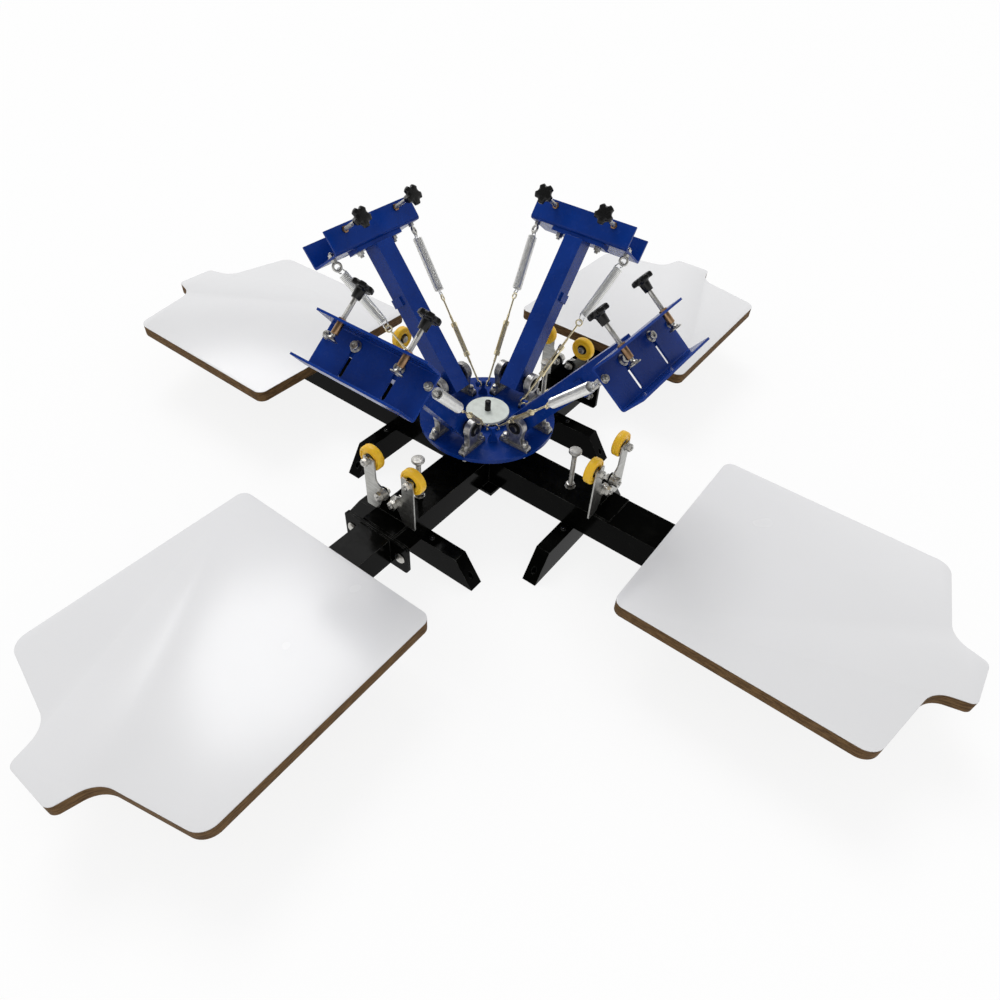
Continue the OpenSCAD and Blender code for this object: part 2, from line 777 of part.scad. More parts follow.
// A pin on the swing axis of pull s, from its outer head to the tab
module anchor_pin(s) {
  v = swing(s);
  translate(anchor(s)) rotate([0, acos(v.z), atan2(v.y, v.x)]) mirror([0, 0, s > 0 ? 0 : 1]) {
    translate([0, 0, -pin_end]) cylinder(h = pin_end + pin_run, r = pin_r);
    translate([0, 0, -pin_end]) cylinder(h = pin_head_t, r = pin_head_r);
  }
}
// A tab between two arms, with a pin for the pull of each
module anchor_tab() {
  top = tab_top.z + pin_r + tab_over;
  shoulder = disc_top + tab_shoulder;
  rotate([0, 0, 45]) slab_x(norm(flat(tab_top)) - tab_t / 2, tab_t) polygon([
    [tab_half, disc_top - eps], [tab_half - tab_bevel, shoulder],
    [tab_neck, shoulder + tab_taper], [tab_neck, top],
    [-tab_neck, top], [-tab_neck, shoulder + tab_taper],
    [-tab_half + tab_bevel, shoulder], [-tab_half, disc_top - eps]
  ]);
  anchor_pin(SECOND);
  at(BACK) anchor_pin(FIRST);
}
module turret_disc() {
  color(blue) difference() {
    union() {
      translate([0, 0, disc_z]) cylinder(h = disc_t, r = disc_r, $fn = 96);
      each_arm() anchor_tab();
    }
    translate([0, 0, disc_z - 1]) cylinder(h = disc_t + 2, r = spindle_r + fit);
    block_bolt_holes(disc_z - 1, disc_t + 2, bolt_r + fit);
  }
}
module bearing_housing() {
  color(black) difference() {
    union() {
      translate([0, 0, housing_z]) cylinder(h = disc_z - housing_z, r = housing_r, $fn = 64);
      translate([0, 0, disc_z - housing_flare_h])
        cylinder(h = housing_flare_h, r1 = housing_r, r2 = housing_r + housing_flare, $fn = 64);
    }
    translate([0, 0, housing_z - 1]) cylinder(h = disc_z - housing_z + 2, r = spindle_r + fit);
    spindle_head_room();
  }
  color(grey) difference() {
    translate([0, 0, disc_top]) cylinder(h = boss_h, r = boss_r, $fn = 64);
    translate([0, 0, disc_top - 1]) cylinder(h = boss_h + 2, r = spindle_r + fit);
  }
}
// Room over the heads of the spindle bolts
module spindle_head_room() {
  reach = norm([spindle_bolt_at, spindle_bolt_at]);
  difference() {
    translate([0, 0, housing_z - 1]) cylinder(h = head_room + 1, r = 2 * housing_r);
    translate([0, 0, housing_z - 2]) cylinder(h = head_room + 3, r = reach - head_room_in);
  }
}
module block_shape() {
  difference() {
    union() {
      polygon(rounded([
        [pivot_r - block_bolt - block_end, disc_top, 0], [pivot_r + block_bolt + block_end, disc_top, 0],
        [pivot_r + block_bolt + block_end, disc_top + block_foot, 3],
        [pivot_r + block_r - block_waist, disc_top + block_foot, 1],
        [pivot_r + block_r - 1, pivot_z, 0],
        [pivot_r - block_r + 1, pivot_z, 0],
        [pivot_r - block_r + block_waist, disc_top + block_foot, 1],
        [pivot_r - block_bolt - block_end, disc_top + block_foot, 3]
      ]));
      translate([pivot_r, pivot_z]) circle(block_r, $fn = 48);
    }
    translate([pivot_r, pivot_z]) circle(bearing_r, $fn = 48);
  }
}
module pillow_blocks() {
  each_arm() both_sides() translate([0, block_t, 0]) {
    color(grey) difference() {
      slab_y(block_w) block_shape();
      for (x = [-block_bolt, block_bolt])
        translate([pivot_r + x, 0, disc_top - 1]) cylinder(h = block_foot + 2, r = bolt_r + fit);
    }
    color(black) translate([pivot_r, 0, pivot_z]) along_y() difference() {
      cylinder(h = block_w + 2 * bearing_proud, r = bearing_r - eps, center = true);
      cylinder(h = block_w + 4, r = shaft_r + fit, center = true);
    }
  }
}
module block_bolts() {
  color(zinc) each_arm() both_sides() for (x = [-block_bolt, block_bolt])
    translate([pivot_r + x, block_t, 0]) {
      translate([0, 0, disc_z - nut_h]) cylinder(h = nut_h, r = hex_r - 1, $fn = 6);
      translate([0, 0, disc_z - nut_h - 5]) cylinder(h = 2 * disc_t + block_foot + 5, r = bolt_r);
      translate([0, 0, disc_top + block_foot]) {
        cylinder(h = washer_t, r = washer_r - 1.5);
        cylinder(h = washer_t + hex_h, r = hex_r - 1, $fn = 6);
      }
    }
}

// Arms
module arm(side) {
  color(blue) at(side) on_arm() difference() {
    union() {
      bar([-arm_tail, arm_len + eps], [-arm_w / 2, arm_w / 2], [-arm_w / 2, arm_w / 2]);
      slab_x(arm_len, end_plate_t) polygon(rounded([
        [end_plate_w / 2, -plate_low, plate_corner], [end_plate_w / 2, plate_high, plate_corner],
        [-end_plate_w / 2, plate_high, plate_corner], [-end_plate_w / 2, -plate_low, plate_corner]
      ]));
      slab_x(guide_u - guide_w / 2, guide_w) polygon([
        [-guide_half, guide_up], [-guide_half, -arm_w / 2],
        [-guide_half + guide_bevel, -arm_w / 2 - guide_t],
        [guide_half - guide_bevel, -arm_w / 2 - guide_t],
        [guide_half, -arm_w / 2], [guide_half, guide_up]
      ]);
    }
    bar([-arm_tail + arm_wall, arm_len],
      [-arm_w / 2 + arm_wall, arm_w / 2 - arm_wall],
      [-arm_w / 2 + arm_wall, arm_w / 2 - arm_wall]);
    along_y() cylinder(h = arm_w + 2, r = shaft_r + fit, center = true);
    both_sides() translate([arm_len - 1, channel_bolt_t, slot_top]) along_x()
      cylinder(h = end_plate_t + 2, r = bolt_r + fit);
  }
}
module channel_shape() {
  polygon(rounded([
    [arm_end, -channel_down, 6], [channel_lip, -channel_down, 0],
    [channel_lip, -channel_down + channel_t, 0], [arm_end + channel_t, floor_inner, 2],
    [arm_end + channel_t, flange_inner, 2], [channel_lip, flange_inner, 0],
    [channel_lip, channel_up, 0], [arm_end, channel_up, 6]
  ]));
}
module web_slot(t) {
  for (n = [slot_top, slot_bottom])
    translate([arm_end - 1, t, n]) along_x() cylinder(h = channel_t + 2, r = slot_r);
  bar([arm_end - 1, arm_end + channel_t + 1], [t - slot_r, t + slot_r], [slot_bottom, slot_top]);
}
module clamp_channel(side) {
  color(blue) at(side) on_arm() difference() {
    slab_y(channel_len) channel_shape();
    both_sides() {
      web_slot(channel_bolt_t);
      translate([arm_end - 1, eye_t, -eye_drop]) along_x()
        cylinder(h = channel_t + 2, r = eye_shank_r + fit);
      translate([screw_u, screw_t, flange_inner - 1])
        cylinder(h = channel_t + 2, r = sleeve_r - 1);
    }
  }
}
// Channel bolt: a round head on the web and a nut behind the end plate
module channel_bolt() {
  translate([arm_len, channel_bolt_t, slot_top]) along_x() {
    translate([0, 0, -nut_h]) cylinder(h = nut_h, r = hex_r, $fn = 6);
    translate([0, 0, -nut_h - thread_past])
      cylinder(h = nut_h + thread_past + end_plate_t + channel_t + 1, r = bolt_r);
    translate([0, 0, end_plate_t + channel_t]) {
      cylinder(h = washer_t, r = washer_r + 1);
      difference() {
        cylinder(h = channel_head_h, r = channel_head_r);
        translate([0, 0, channel_head_h - socket_h]) cylinder(h = socket_h + 1, r = socket_r, $fn = 6);
      }
    }
  }
}
module eye_bolt(s) {
  d = pull_in_arm(s);
  translate([eye_u, s * eye_t, -eye_drop]) {
    rotate([atan2(d.z, d.y), 0, 0]) torus(eye_ring_r, eye_wire);
    translate([eye_ring_r, 0, 0]) along_x()
      cylinder(h = web_in + eye_shank_out - eye_u - eye_ring_r, r = eye_shank_r);
    translate([arm_end - eye_u - eye_nut_h, 0, 0]) along_x()
      cylinder(h = eye_nut_h, r = eye_nut_r, $fn = 6);
    translate([web_in - eye_u, 0, 0]) along_x() cylinder(h = eye_lock_h, r = eye_lock_r, $fn = 6);
  }
}
module sleeve_nut() {
  translate([screw_u, screw_t, 0]) difference() {
    union() {
      translate([0, 0, flange_inner - sleeve_len]) cylinder(h = sleeve_len, r = sleeve_r);
      translate([0, 0, flange_inner - 0.5]) cylinder(h = channel_t + 0.5, r = sleeve_r - 1 - fit);
      translate([0, 0, channel_up]) cylinder(h = sleeve_collar_h, r = sleeve_collar_r, $fn = 6);
    }
    translate([0, 0, flange_inner - sleeve_len - 1])
      cylinder(h = sleeve_len + channel_t + sleeve_collar_h + 2, r = screw_r + fit);
  }
}
module arm_fittings(side) {
  at(side) on_arm() {
    color(zinc) {
      along_y() cylinder(h = 2 * block_t + block_w + 10, r = shaft_r, center = true);
      both_sides() channel_bolt();
      for (s = [FIRST, SECOND]) eye_bolt(s);
    }
    color(bronze) both_sides() sleeve_nut();
  }
}

// Clamp screw: a star knob, a threaded rod and a swivel pad
module star_knob() {
  difference() {
    union() {
      translate([0, 0, -neck_len]) cylinder(h = neck_len + eps, r1 = neck_low_r, r2 = neck_top_r);
      cylinder(h = knob_h - knob_rim, r = knob_r, $fn = 48);
      translate([0, 0, knob_h - knob_rim])
        cylinder(h = knob_rim, r1 = knob_r, r2 = knob_r - knob_rim, $fn = 48);
    }
    for (i = [0 : knob_lobes - 1]) rotate([0, 0, i * 360 / knob_lobes])
      translate([knob_flute_at, 0, -1]) cylinder(h = knob_h + 2, r = knob_flute_r);
  }
}
module clamp_screw(side, s) {
  at(side) on_arm() translate([screw_u, s * screw_t, 0]) {
    color(black) translate([0, 0, knob_z]) star_knob();
    color(zinc) {
      translate([0, 0, pad_top - pad_t / 2])
        cylinder(h = knob_z - neck_len - pad_top + pad_t / 2, r = screw_r);
      translate([0, 0, pad_top - pad_t]) cylinder(h = pad_t, r = pad_r);
      translate([0, 0, pad_top]) cylinder(h = pad_cone, r1 = screw_r + pad_cone, r2 = screw_r);
    }
  }
}

// Turnbuckle on the pull line: a looped rod, a sleeve and a ringed rod
module turnbuckle(side, s) {
  color(bronze) at(side) on_pull(s) {
    rotate([0, 0, roll_to(s, swing(s)) - 90]) rotate([90, 0, 0]) torus(loop_r, loop_wire);
    translate([0, 0, loop_r]) cylinder(h = sleeve_at + thread_in - loop_r, r = rod_r);
    difference() {
      union() {
        translate([0, 0, sleeve_at]) cylinder(h = sleeve_to - sleeve_at, r = sleeve_body_r);
        for (z = [sleeve_at, sleeve_to - sleeve_hex_h])
          translate([0, 0, z]) cylinder(h = sleeve_hex_h, r = sleeve_hex_r, $fn = 6);
      }
      translate([0, 0, sleeve_at - 1]) cylinder(h = sleeve_to - sleeve_at + 2, r = rod_r + fit);
      bar([-10, 10], [-sight_w / 2, sight_w / 2],
        [sleeve_at + sleeve_hex_h + sight_end, sleeve_to - sleeve_hex_h - sight_end]);
    }
    translate([0, 0, sleeve_to - thread_in])
      cylinder(h = ring_at - ring_r - sleeve_to + thread_in, r = rod_r);
    rotate([0, 0, roll_to(s, eye_plane(s))]) translate([0, 0, ring_at]) along_x()
      torus(ring_r, ring_wire);
  }
}
module spring(side, s) {
  color(zinc) at(side) on_pull(s) rotate([0, 0, roll_to(s, eye_plane(s))])
    wire(spring_points(), wire_r, [0, 1, 0]);
}

cross_frame();
outer_tubes();
tube_plugs();
feet();
frame_bolts();
spindle();
pallet(FRONT);  // pallet_front
pallet(RIGHT);  // pallet_right
pallet(BACK);  // pallet_back
pallet(LEFT);  // pallet_left
pallet_battens();
roller_plates();
turret_disc();
bearing_housing();
pillow_blocks();
block_bolts();
arm(FRONT);  // arm_front
arm(RIGHT);  // arm_right
arm(BACK);  // arm_back
arm(LEFT);  // arm_left
clamp_channel(FRONT);  // clamp_channel_front
clamp_channel(RIGHT);  // clamp_channel_right
clamp_channel(BACK);  // clamp_channel_back
clamp_channel(LEFT);  // clamp_channel_left
arm_fittings(FRONT);  // arm_fittings_front
arm_fittings(RIGHT);  // arm_fittings_right
arm_fittings(BACK);  // arm_fittings_back
arm_fittings(LEFT);  // arm_fittings_left
clamp_screw(FRONT, FIRST);  // clamp_screw_front_1
clamp_screw(FRONT, SECOND);  // clamp_screw_front_2
clamp_screw(RIGHT, FIRST);  // clamp_screw_right_1
clamp_screw(RIGHT, SECOND);  // clamp_screw_right_2
clamp_screw(BACK, FIRST);  // clamp_screw_back_1
clamp_screw(BACK, SECOND);  // clamp_screw_back_2
clamp_screw(LEFT, FIRST);  // clamp_screw_left_1
clamp_screw(LEFT, SECOND);  // clamp_screw_left_2
roller(FRONT, FIRST);  // roller_front_1
roller(FRONT, SECOND);  // roller_front_2
roller(RIGHT, FIRST);  // roller_right_1
roller(RIGHT, SECOND);  // roller_right_2
roller(BACK, FIRST);  // roller_back_1
roller(BACK, SECOND);  // roller_back_2
roller(LEFT, FIRST);  // roller_left_1
roller(LEFT, SECOND);  // roller_left_2
turnbuckle(FRONT, FIRST);  // turnbuckle_front_1
turnbuckle(FRONT, SECOND);  // turnbuckle_front_2
turnbuckle(RIGHT, FIRST);  // turnbuckle_right_1
turnbuckle(RIGHT, SECOND);  // turnbuckle_right_2
turnbuckle(BACK, FIRST);  // turnbuckle_back_1
turnbuckle(BACK, SECOND);  // turnbuckle_back_2
turnbuckle(LEFT, FIRST);  // turnbuckle_left_1
turnbuckle(LEFT, SECOND);  // turnbuckle_left_2
spring(FRONT, FIRST);  // spring_front_1
spring(FRONT, SECOND);  // spring_front_2
spring(RIGHT, FIRST);  // spring_right_1
spring(RIGHT, SECOND);  // spring_right_2
spring(BACK, FIRST);  // spring_back_1
spring(BACK, SECOND);  // spring_back_2
spring(LEFT, FIRST);  // spring_left_1
spring(LEFT, SECOND);  // spring_left_2
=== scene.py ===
"""A four-arm tabletop screen printing press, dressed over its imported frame.

Lengths are in millimetres, and MM turns them into the scene's metres. The frame of a side has X
outward from the spindle and Y counter-clockwise. On an arm, u runs along it, t across it and n
square to both.
"""

import math

import bmesh
import bpy
from mathutils import Matrix, Vector

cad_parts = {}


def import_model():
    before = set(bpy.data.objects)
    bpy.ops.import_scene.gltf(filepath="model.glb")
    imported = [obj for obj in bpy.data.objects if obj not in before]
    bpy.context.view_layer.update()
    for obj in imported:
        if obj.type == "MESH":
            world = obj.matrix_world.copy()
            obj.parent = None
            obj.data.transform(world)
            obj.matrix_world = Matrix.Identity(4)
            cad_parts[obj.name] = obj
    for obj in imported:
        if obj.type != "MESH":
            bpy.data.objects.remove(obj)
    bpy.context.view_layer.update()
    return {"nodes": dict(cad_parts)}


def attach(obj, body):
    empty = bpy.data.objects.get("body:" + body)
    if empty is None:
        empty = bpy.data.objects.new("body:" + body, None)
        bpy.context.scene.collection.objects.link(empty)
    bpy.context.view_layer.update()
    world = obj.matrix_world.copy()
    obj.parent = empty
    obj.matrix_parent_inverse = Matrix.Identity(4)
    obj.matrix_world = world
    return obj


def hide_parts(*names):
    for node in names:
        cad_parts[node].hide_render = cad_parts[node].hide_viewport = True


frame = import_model()

MM = 0.001
# Direction of each arm and pallet in degrees
SIDES = {"front": 270, "right": 0, "back": 90, "left": 180}
# Each pull, screw and roller of an arm: its number and the side of the arm that it is on
PAIR = {1: -1, 2: 1}
# An edge between two faces is sharp from this angle in degrees
SHARP_FROM = 35

# Heights, as on the frame
foot_h = 60
tube_top = 120
pallet_top = 160
disc_z = 180
disc_top = 188
boss_top = 198.3
axle_z = 234

# Pallets
pallet_t = 25
laminate_t = 0.8
pallet_half = 225
pallet_in = 432
pallet_shoulder = 858
pallet_out = 955
neck_root = 895
neck_root_half = 62
neck_tip_half = 46
pallet_corner = 18
shoulder_corner = 30
neck_corner = 44
tip_corner = 13

# Arm, channel and clamps
pivot_r = 96
pivot_z = 234
raised = 52
arm_end = 300
web_in = 304
channel_up = 15
flange_inner = 11
channel_bolt_t = 45
slot_top = -6
screw_u = 336
screw_t = 67
sleeve_r = 6
sleeve_len = 20
knob_r = 19
knob_lobes = 5
knob_z = 71
knob_neck = 17
pad_r = 11
pad_t = 3
pad_top = -17
shaft_r = 8
shaft_half = 49

# Pull line: anchor, eye, and what lies between
anchor_r = 80.5 / math.sqrt(2)
anchor_t = 63.5 / math.sqrt(2)
eye_u = 286
eye_t = 105
eye_drop = 10
eye_ring_r = 7.5
eye_wire = 2.5
eye_stem_r = 3
loop_r = 5.7
loop_wire = 1.3
link_r = 2.5
sleeve_at = 61
sleeve_to = 134
body_r = 5
body_hex_r = 6
body_hex_h = 9
sight_half = 1.8
thread_in = 12
ring_at = 188
ring_r = 6
ring_wire = 1.6
hook_r = 5
wire_r = 1.3
coil_r = 8.3
coil_lead = 9

# Fasteners: radius of a bolt, of its hole and over a nut's corners, and a washer's thickness
bolt_r = 4
bore = 4.1
hex_r = 7.5
washer_t = 1.6

# Joints of the frame, stop screws and pillow blocks
joint_r = 323
flange_t = 4
flange_bolt_t = 60
flange_bolt_z = 90
foot_r = 237
foot_bolt_t = 54
stop_r = 209
stop_top = 213.7
stop_head_r = 12.5
stop_thread_r = 5
spindle_bolt_at = 35
block_bolts_at = (74, 118)
block_t = 37
block_w = 14
block_foot = 11
block_half = 33
block_axis = 46
block_arch = 20
block_boss_at = 25
block_web_half = 2.6
block_rim = 2.6

# Spindle, its washer and its cap
post_r = 18
post_flange_half = 46
post_flange_t = 6
hold_down_r = 43.5
hold_down_t = 6
cap_r = 6

# Roller plates and rollers
plate_r = 285
plate_t = 3
plate_bolt_t = 16.5
plate_bolt_z = 172
roller_at = 275
roller_r = 25
roller_w = 15
axle_t = 49
hub_r = 11


# Places
def anchor_z():
    """Height of a spring anchor: dead centre lies midway along the arm's travel."""
    lean = math.radians(raised / 2) - math.atan(eye_drop / eye_u)
    return pivot_z - (pivot_r - anchor_r) * math.tan(lean)


def arm_point(u, t, n, angle):
    """A point of the arm that is raised by an angle, in the frame of its side."""
    a = math.radians(angle)
    across = pivot_r + u * math.cos(a) - n * math.sin(a)
    return Vector((across, t, pivot_z + u * math.sin(a) + n * math.cos(a)))


def at(side):
    """From the frame of a side to the press."""
    return Matrix.Rotation(math.radians(SIDES[side]), 4, "Z")


def shift(x, y, z):
    return Matrix.Translation((x * MM, y * MM, z * MM))


def on_arm():
    """From the raised arm's own frame, X along it, to the frame of its side."""
    return shift(pivot_r, 0, pivot_z) @ Matrix.Rotation(-math.radians(raised), 4, "Y")


ALONG_X = Matrix.Rotation(math.pi / 2, 4, "Y")
ALONG_Y = Matrix.Rotation(-math.pi / 2, 4, "X")


def axes(x, y, z, origin):
    """The matrix with these axes and this origin in millimetres."""
    m = Matrix((x, y, z)).transposed().to_4x4()
    m.translation = origin * MM
    return m


class Pull:
    """A spring's line on side s of an arm: from the anchor up to the eye."""

    def __init__(self, s):
        self.anchor = Vector((anchor_r, s * anchor_t, anchor_z()))
        up = arm_point(eye_u, s * eye_t, -eye_drop, raised) - self.anchor
        down = arm_point(eye_u, s * eye_t, -eye_drop, 0) - self.anchor
        self.length = up.length
        self.way = up.normalized()
        self.swing = self.way.cross(down.normalized()).normalized()
        a = math.radians(raised)
        self.eye_plane = Vector((math.cos(a), 0, math.sin(a))).cross(self.way).normalized()

    def facing(self, x):
        """From a frame with Z along the pull and X along x to the frame of the side."""
        return axes(x, self.way.cross(x), self.way, self.anchor)


# Meshes
def angles(n):
    """n angles, evenly round the circle."""
    return [2 * math.pi * k / n for k in range(n)]


def polar(r, a):
    return (r * math.cos(a), r * math.sin(a))


class Mesh:
    """Vertices and faces to which rings of points are added."""

    def __init__(self):
        self.verts = []
        self.faces = []

    def loft(self, rings, place=Matrix(), loop=False):
        """Faces from ring to ring. The rings have equally many points, in millimetres."""
        base = len(self.verts)
        n = len(rings[0])
        for ring in rings:
            self.verts += [place @ (Vector(p) * MM) for p in ring]
        last = len(rings) if loop else len(rings) - 1
        for i in range(last):
            low = base + i * n
            high = base + (i + 1) % len(rings) * n
            for k in range(n):
                m = (k + 1) % n
                self.faces.append((low + k, low + m, high + m, high + k))
        if not loop:
            self.faces.append(tuple(base + k for k in reversed(range(n))))
            self.faces.append(tuple(base + (len(rings) - 1) * n + k for k in range(n)))

    def lathe(self, profile, place=Matrix(), sides=32, loop=False):
        """A profile of (radius, height) turned about Z."""
        self.loft([[(*polar(r, a), z) for a in angles(sides)] for r, z in profile], place, loop)

    def prism(self, outline, heights, place=Matrix()):
        """An outline lofted through (height, inset) pairs; an inset shrinks it to its middle."""
        n = len(outline)
        mid = (sum(x for x, y in outline) / n, sum(y for x, y in outline) / n)
        rings = []
        for z, inset in heights:
            ring = []
            for x, y in outline:
                d = max(1e-6, math.hypot(x - mid[0], y - mid[1]))
                k = 1 - inset / d
                ring.append((mid[0] + (x - mid[0]) * k, mid[1] + (y - mid[1]) * k, z))
            rings.append(ring)
        self.loft(rings, place)

    def sweep(self, path, radius, sides=10, place=Matrix(), loop=False):
        """A round wire along points in millimetres."""
        pts = [Vector(p) for p in path]
        n = len(pts)
        normal = None
        rings = []
        for i, p in enumerate(pts):
            ahead = pts[(i + 1) % n] if loop or i < n - 1 else p
            behind = pts[i - 1] if loop or i > 0 else p
            t = (ahead - behind).normalized()
            if normal is None:
                normal = t.orthogonal()
            normal = (normal - normal.dot(t) * t).normalized()
            side = t.cross(normal)
            ring = [normal * math.cos(a) + side * math.sin(a) for a in angles(sides)]
            rings.append([p + radius * v for v in ring])
        self.loft(rings, place, loop)

    def torus(self, major, minor, place=Matrix(), sides=12, turns=40):
        self.sweep([(*polar(major, a), 0) for a in angles(turns)], minor, sides, place, True)

    def rod(self, low, high, radius, place=Matrix(), chamfer=0.6):
        profile = [
            (radius - chamfer, low), (radius, low + chamfer),
            (radius, high - chamfer), (radius - chamfer, high),
        ]
        self.lathe(profile, place)

    def thread(self, low, high, radius, place=Matrix(), pitch=1.25, depth=0.45):
        """A rod with the ridges of a thread."""
        turns = max(2, round((high - low) / pitch))
        step = (high - low) / turns
        profile = [(radius - depth, low)]
        for i in range(turns):
            profile += [(radius, low + (i + 0.35) * step), (radius, low + (i + 0.6) * step)]
            profile += [(radius - depth, low + (i + 1) * step)]
        self.lathe(profile, place, sides=20)

    def hexagon(self, low, high, radius, place=Matrix(), both=False):
        """A hexagon head or nut with turned corners, at its top or at both ends."""
        apothem = radius * math.cos(math.pi / 6)
        turn = angles(48)
        across = [apothem / math.cos((a + math.pi / 6) % (math.pi / 3) - math.pi / 6) for a in turn]
        face_r = apothem * 0.97
        slope = 0.58

        def ring(z):
            return [(*polar(r, a), z) for r, a in zip(across, turn)]

        def face(z):
            return [(*polar(face_r, a), z) for a in turn]

        def corner(z, way):
            return [(*polar(r, a), z - way * (r - face_r) * slope) for r, a in zip(across, turn)]

        rings = [face(low), corner(low, -1)] if both else [ring(low)]
        self.loft(rings + [corner(high, 1), face(high)], place)

    def washer(self, low, t, outer, inner, place=Matrix()):
        c = 0.25
        profile = [
            (inner, low), (outer - c, low), (outer, low + c),
            (outer, low + t - c), (outer - c, low + t), (inner, low + t),
        ]
        self.lathe(profile, place, loop=True)


def sector(inner, outer, start, end, n=8):
    """The outline of a ring's stretch between two angles in degrees."""
    turn = [math.radians(start + (end - start) * k / n) for k in range(n + 1)]
    return [polar(outer, a) for a in turn] + [polar(inner, a) for a in reversed(turn)]


def inward(outline, by):
    """The outline moved in by a distance; it runs clockwise."""
    moved = []
    n = len(outline)
    for k, (x, y) in enumerate(outline):
        ahead, behind = outline[(k + 1) % n], outline[k - 1]
        way = Vector((ahead[0] - behind[0], ahead[1] - behind[1])).normalized()
        moved.append((x + way.y * by, y - way.x * by))
    return moved


def stack(m, place, z, layers):
    """Washers and nuts from height z up, each a kind, a thickness and a radius; returns the top."""
    for kind, t, r in layers:
        if kind == "washer":
            m.washer(z, t, r, bore, place)
        elif kind == "split":
            m.prism(sector(bore, r, 6, 350, 22), [(z + 0.05, 0), (z + t - 0.05, 0)], place)
        else:
            m.hexagon(z, z + t, r, place, both=True)
        z += t
    return z


def piece(name, mesh, material, body, replaces=(), place=Matrix()):
    """An object of the press from a Mesh, with its faces turned outward, riding on a body."""
    data = bpy.data.meshes.new(name)
    data.from_pydata([place @ v for v in mesh.verts], [], mesh.faces)
    bm = bmesh.new()
    bm.from_mesh(data)
    bmesh.ops.recalc_face_normals(bm, faces=bm.faces)
    bm.to_mesh(data)
    bm.free()
    data.polygons.foreach_set("use_smooth", [True] * len(data.polygons))
    data.set_sharp_from_angle(angle=math.radians(SHARP_FROM))
    data.materials.append(material)
    obj = bpy.data.objects.new(name, data)
    bpy.context.scene.collection.objects.link(obj)
    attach(obj, body)
    if replaces:
        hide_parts(*replaces)


# Materials
# Where a Mix node has its two inputs and its output, for numbers and for colours
MIX = {"FLOAT": (2, 3, 0), "RGBA": (6, 7, 2)}


def feed(tree, socket, value):
    """Links a socket to another one, or gives it a fixed value."""
    if isinstance(value, bpy.types.NodeSocket):
        tree.links.new(value, socket)
    else:
        socket.default_value = value


def blend(tree, kind, share, a, b):
    """From a to b by a share in 0..1."""
    n = tree.nodes.new("ShaderNodeMix")
    n.data_type = kind
    first, second, out = MIX[kind]
    for socket, value in ((0, share), (first, a), (second, b)):
        feed(tree, n.inputs[socket], value)
    return n.outputs[out]


class Look:
    """A node material on a Principled shader, with textures in the press's own coordinates."""

    def __init__(self, name, colour, roughness, metallic=0.0, **fixed):
        self.material = bpy.data.materials.new(name)
        self.material.use_nodes = True
        self.tree = self.material.node_tree
        self.shader = self.tree.nodes["Principled BSDF"]
        self.shader.inputs["Base Color"].default_value = (*colour, 1)
        self.shader.inputs["Roughness"].default_value = roughness
        self.shader.inputs["Metallic"].default_value = metallic
        for key, value in fixed.items():
            self.shader.inputs[key.replace("_", " ")].default_value = value
        self.place = self.node("ShaderNodeTexCoord").outputs["Object"]
        self.normal = None

    def node(self, kind, **values):
        """A node with some of its settings and inputs."""
        n = self.tree.nodes.new(kind)
        for key, value in values.items():
            if hasattr(n, key):
                setattr(n, key, value)
            else:
                feed(self.tree, n.inputs[key.replace("_", " ")], value)
        return n

    def set(self, key, value):
        feed(self.tree, self.shader.inputs[key], value)

    def stretched(self, scale):
        """The coordinates times a scale for each axis."""
        return self.node("ShaderNodeMapping", Vector=self.place, Scale=scale).outputs["Vector"]

    def noise(self, scale, detail=3.0, roughness=0.55, vector=None):
        place = vector or self.place
        values = {"Vector": place, "Scale": scale, "Detail": detail, "Roughness": roughness}
        return self.node("ShaderNodeTexNoise", **values).outputs["Fac"]

    def between(self, value, low, high, to_low, to_high):
        """value taken from low..high to to_low..to_high, and held at the ends."""
        ends = {"From_Min": low, "From_Max": high, "To_Min": to_low, "To_Max": to_high}
        return self.node("ShaderNodeMapRange", Value=value, **ends).outputs["Result"]

    def mixed(self, share, a, b):
        """From colour a to colour b by a share in 0..1."""
        a, b = ((*c, 1) if isinstance(c, tuple) else c for c in (a, b))
        return blend(self.tree, "RGBA", share, a, b)

    def clouds(self, noise, low, high, a, b):
        """Colour a where the noise is low, and b where it is high."""
        return self.mixed(self.between(noise, low, high, 0, 1), a, b)

    def uneven(self, noise, smooth, dull):
        """Roughness from smooth to dull by a noise."""
        self.set("Roughness", self.between(noise, 0.3, 0.7, smooth, dull))

    def bump(self, height, strength, distance):
        """Height in 0..1 is raised by distance millimetres; calls add up."""
        n = self.node("ShaderNodeBump", Height=height, Strength=strength, Distance=distance * MM)
        if self.normal:
            feed(self.tree, n.inputs["Normal"], self.normal)
        self.normal = n.outputs["Normal"]
        self.set("Normal", self.normal)

    def edges(self, radius):
        """Lights edges as if they were rounded, and returns how near an edge a point is."""
        self.normal = self.node("ShaderNodeBevel", samples=4, Radius=radius * MM).outputs["Normal"]
        self.set("Normal", self.normal)
        turn = self.node("ShaderNodeVectorMath", operation="DOT_PRODUCT")
        feed(self.tree, turn.inputs[0], self.normal)
        feed(self.tree, turn.inputs[1], self.node("ShaderNodeNewGeometry").outputs["Normal"])
        return self.between(turn.outputs["Value"], 0.8, 0.97, 1, 0)

    def patchy(self, share, scale, low, high):
        """share, kept only in patches."""
        both = self.node("ShaderNodeMath", operation="MULTIPLY")
        feed(self.tree, both.inputs[0], share)
        patches = self.between(self.noise(scale, 4, 0.65), low, high, 0, 1)
        feed(self.tree, both.inputs[1], patches)
        return both.outputs[0]


